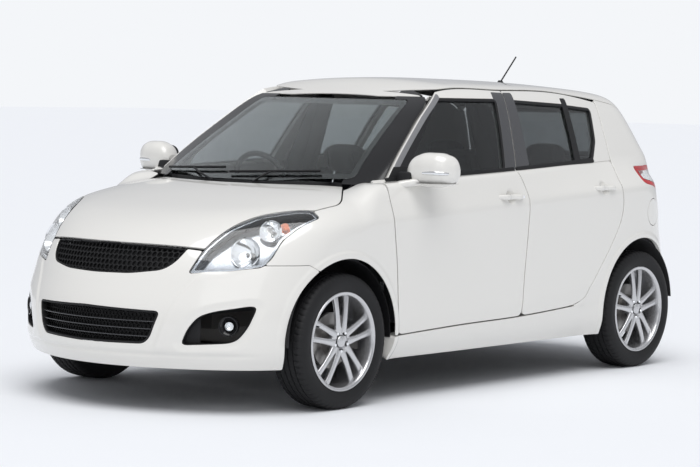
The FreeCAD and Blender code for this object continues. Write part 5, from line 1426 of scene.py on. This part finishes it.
wheelParts = [swept(ringPath, oval(14, 14, 18), trim, up=helm["tilt"], closed=True),
              turned([(-26, 1), (-26, 44), (-4, 58), (12, 52), (18, 30), (20, 1)], trim, 56, centre=helm["at"],
                     way=helm["tilt"])]
for angle, mat in ((0.0, trim), (np.pi, trim), (-np.pi / 2, stripGrey)):
    way = np.cos(angle) * helmSide + np.sin(angle) * helmUp
    wheelParts.append(swept([helm["at"] + way * r - helm["tilt"] * 4 for r in (40, 90, 140, 176)],
                            oval(17, 8, 16, 3.0), mat, up=helm["tilt"]))
piece("steering_wheel_rim", wheelParts, "steering_wheel", ["steering_wheel"])
print("cabin done")

# Wipers, aerial and the parts under the car keep the frame's own shapes
keptLooks = dict(
    steering_knuckle_left=castIron, steering_knuckle_right=castIron, front_subframe=underseal, rear_axle=castIron,
    rear_springs=steel, floor_pan=underseal, arch_liners=blackPlastic, engine_block=castIron, exhaust=steel,
    fuel_tank=blackPlastic, aerial=blackPlastic, wipers=blackPlastic)
for name, mat in keptLooks.items():
    mesh = nodes[name].data
    if not mesh.materials:
        mesh.materials.append(mat)
    for k in range(len(mesh.materials)):
        mesh.materials[k] = mat

def turnedTo(across, up, back, at):
    m = np.eye(4)
    m[:3, 0], m[:3, 1], m[:3, 2], m[:3, 3] = across, up, back, at
    return Matrix(m.tolist())


# Camera: its place, its angles in degrees, and a lens for the width of the picture
shot = dict(at=np.array([9235.446, 7519.270, 1452.442]), yaw=-140.6174, pitch=-3.60278, roll=1.15085, lens=121.917,
            sensor=36.0, farthest=200.0)
yaw, pitch, roll = [math.radians(shot[k]) for k in ("yaw", "pitch", "roll")]
ahead = np.array([math.cos(pitch) * math.cos(yaw), math.cos(pitch) * math.sin(yaw), math.sin(pitch)])
right = unit(np.cross(ahead, [0, 0, 1]))
above = np.cross(right, ahead)
camera = linked("camera", bpy.data.cameras.new("camera"))
camera.data.sensor_fit, camera.data.sensor_width, camera.data.lens = "HORIZONTAL", shot["sensor"], shot["lens"]
camera.data.clip_end = shot["farthest"]
camera.matrix_world = turnedTo(math.cos(roll) * right + math.sin(roll) * above,
                               math.cos(roll) * above - math.sin(roll) * right, -ahead, shot["at"] * mm)
bpy.context.scene.camera = camera
bpy.context.scene.view_settings.view_transform = "Standard"

# Floor and sky: plain and pale to the camera and in reflections, softer as a light
stageLook = dict(sky=(0.905, 0.922, 0.948), light=(0.93, 0.95, 1.0), ambient=0.50, floorSize=160.0,
                 sunPower=1.92, sunWidth=50.0, sunLean=(-14.0, 16.0))
world = bpy.data.worlds.new("pale_room")
bpy.context.scene.world = world
world.use_nodes = True
tree = world.node_tree
back = tree.nodes["Background"]
back.inputs["Color"].default_value = (*stageLook["sky"], 1)
lit = tree.nodes.new("ShaderNodeBackground")
lit.inputs["Color"].default_value = (*stageLook["light"], 1)
lit.inputs["Strength"].default_value = stageLook["ambient"]
path = tree.nodes.new("ShaderNodeLightPath")
seen = tree.nodes.new("ShaderNodeMath")
seen.operation = "MAXIMUM"
tree.links.new(path.outputs["Is Camera Ray"], seen.inputs[0])
tree.links.new(path.outputs["Is Transmission Ray"], seen.inputs[1])
choose = tree.nodes.new("ShaderNodeMixShader")
tree.links.new(seen.outputs[0], choose.inputs[0])
tree.links.new(lit.outputs[0], choose.inputs[1])
tree.links.new(back.outputs[0], choose.inputs[2])
tree.links.new(choose.outputs[0], tree.nodes["World Output"].inputs["Surface"])

floorMesh = bpy.data.meshes.new("floor")
h = stageLook["floorSize"] / 2
floorMesh.from_pydata([(-h, -h, 0), (h, -h, 0), (h, h, 0), (-h, h, 0)], [], [(0, 1, 2, 3)])
floor = linked("floor", floorMesh)
floorMesh.materials.append(material("pale_floor", (0.86, 0.875, 0.90), 0.9, vary=0.004))

sun = bpy.data.lights.new("sky_light", "SUN")
sun.energy, sun.angle = stageLook["sunPower"], math.radians(stageLook["sunWidth"])
linked("sky_light", sun).rotation_euler = (*[math.radians(lean) for lean in stageLook["sunLean"]], 0)
softbox = dict(at=np.array([7.5, 5.5, 4.2]), aim=np.array([0.3, 0, 0.6]), width=5.0, height=3.0, power=40.0)
box = bpy.data.lights.new("front_left", "AREA")
box.shape, box.size, box.size_y, box.energy = "RECTANGLE", softbox["width"], softbox["height"], softbox["power"]
boxWay = unit(softbox["at"] - softbox["aim"])
boxAcross = unit(np.cross([0, 0, 1], boxWay))
boxObject = linked("front_left", box)
boxObject.matrix_world = turnedTo(boxAcross, np.cross(boxWay, boxAcross), boxWay, softbox["at"])
boxObject.visible_camera = False

print("stage ready")
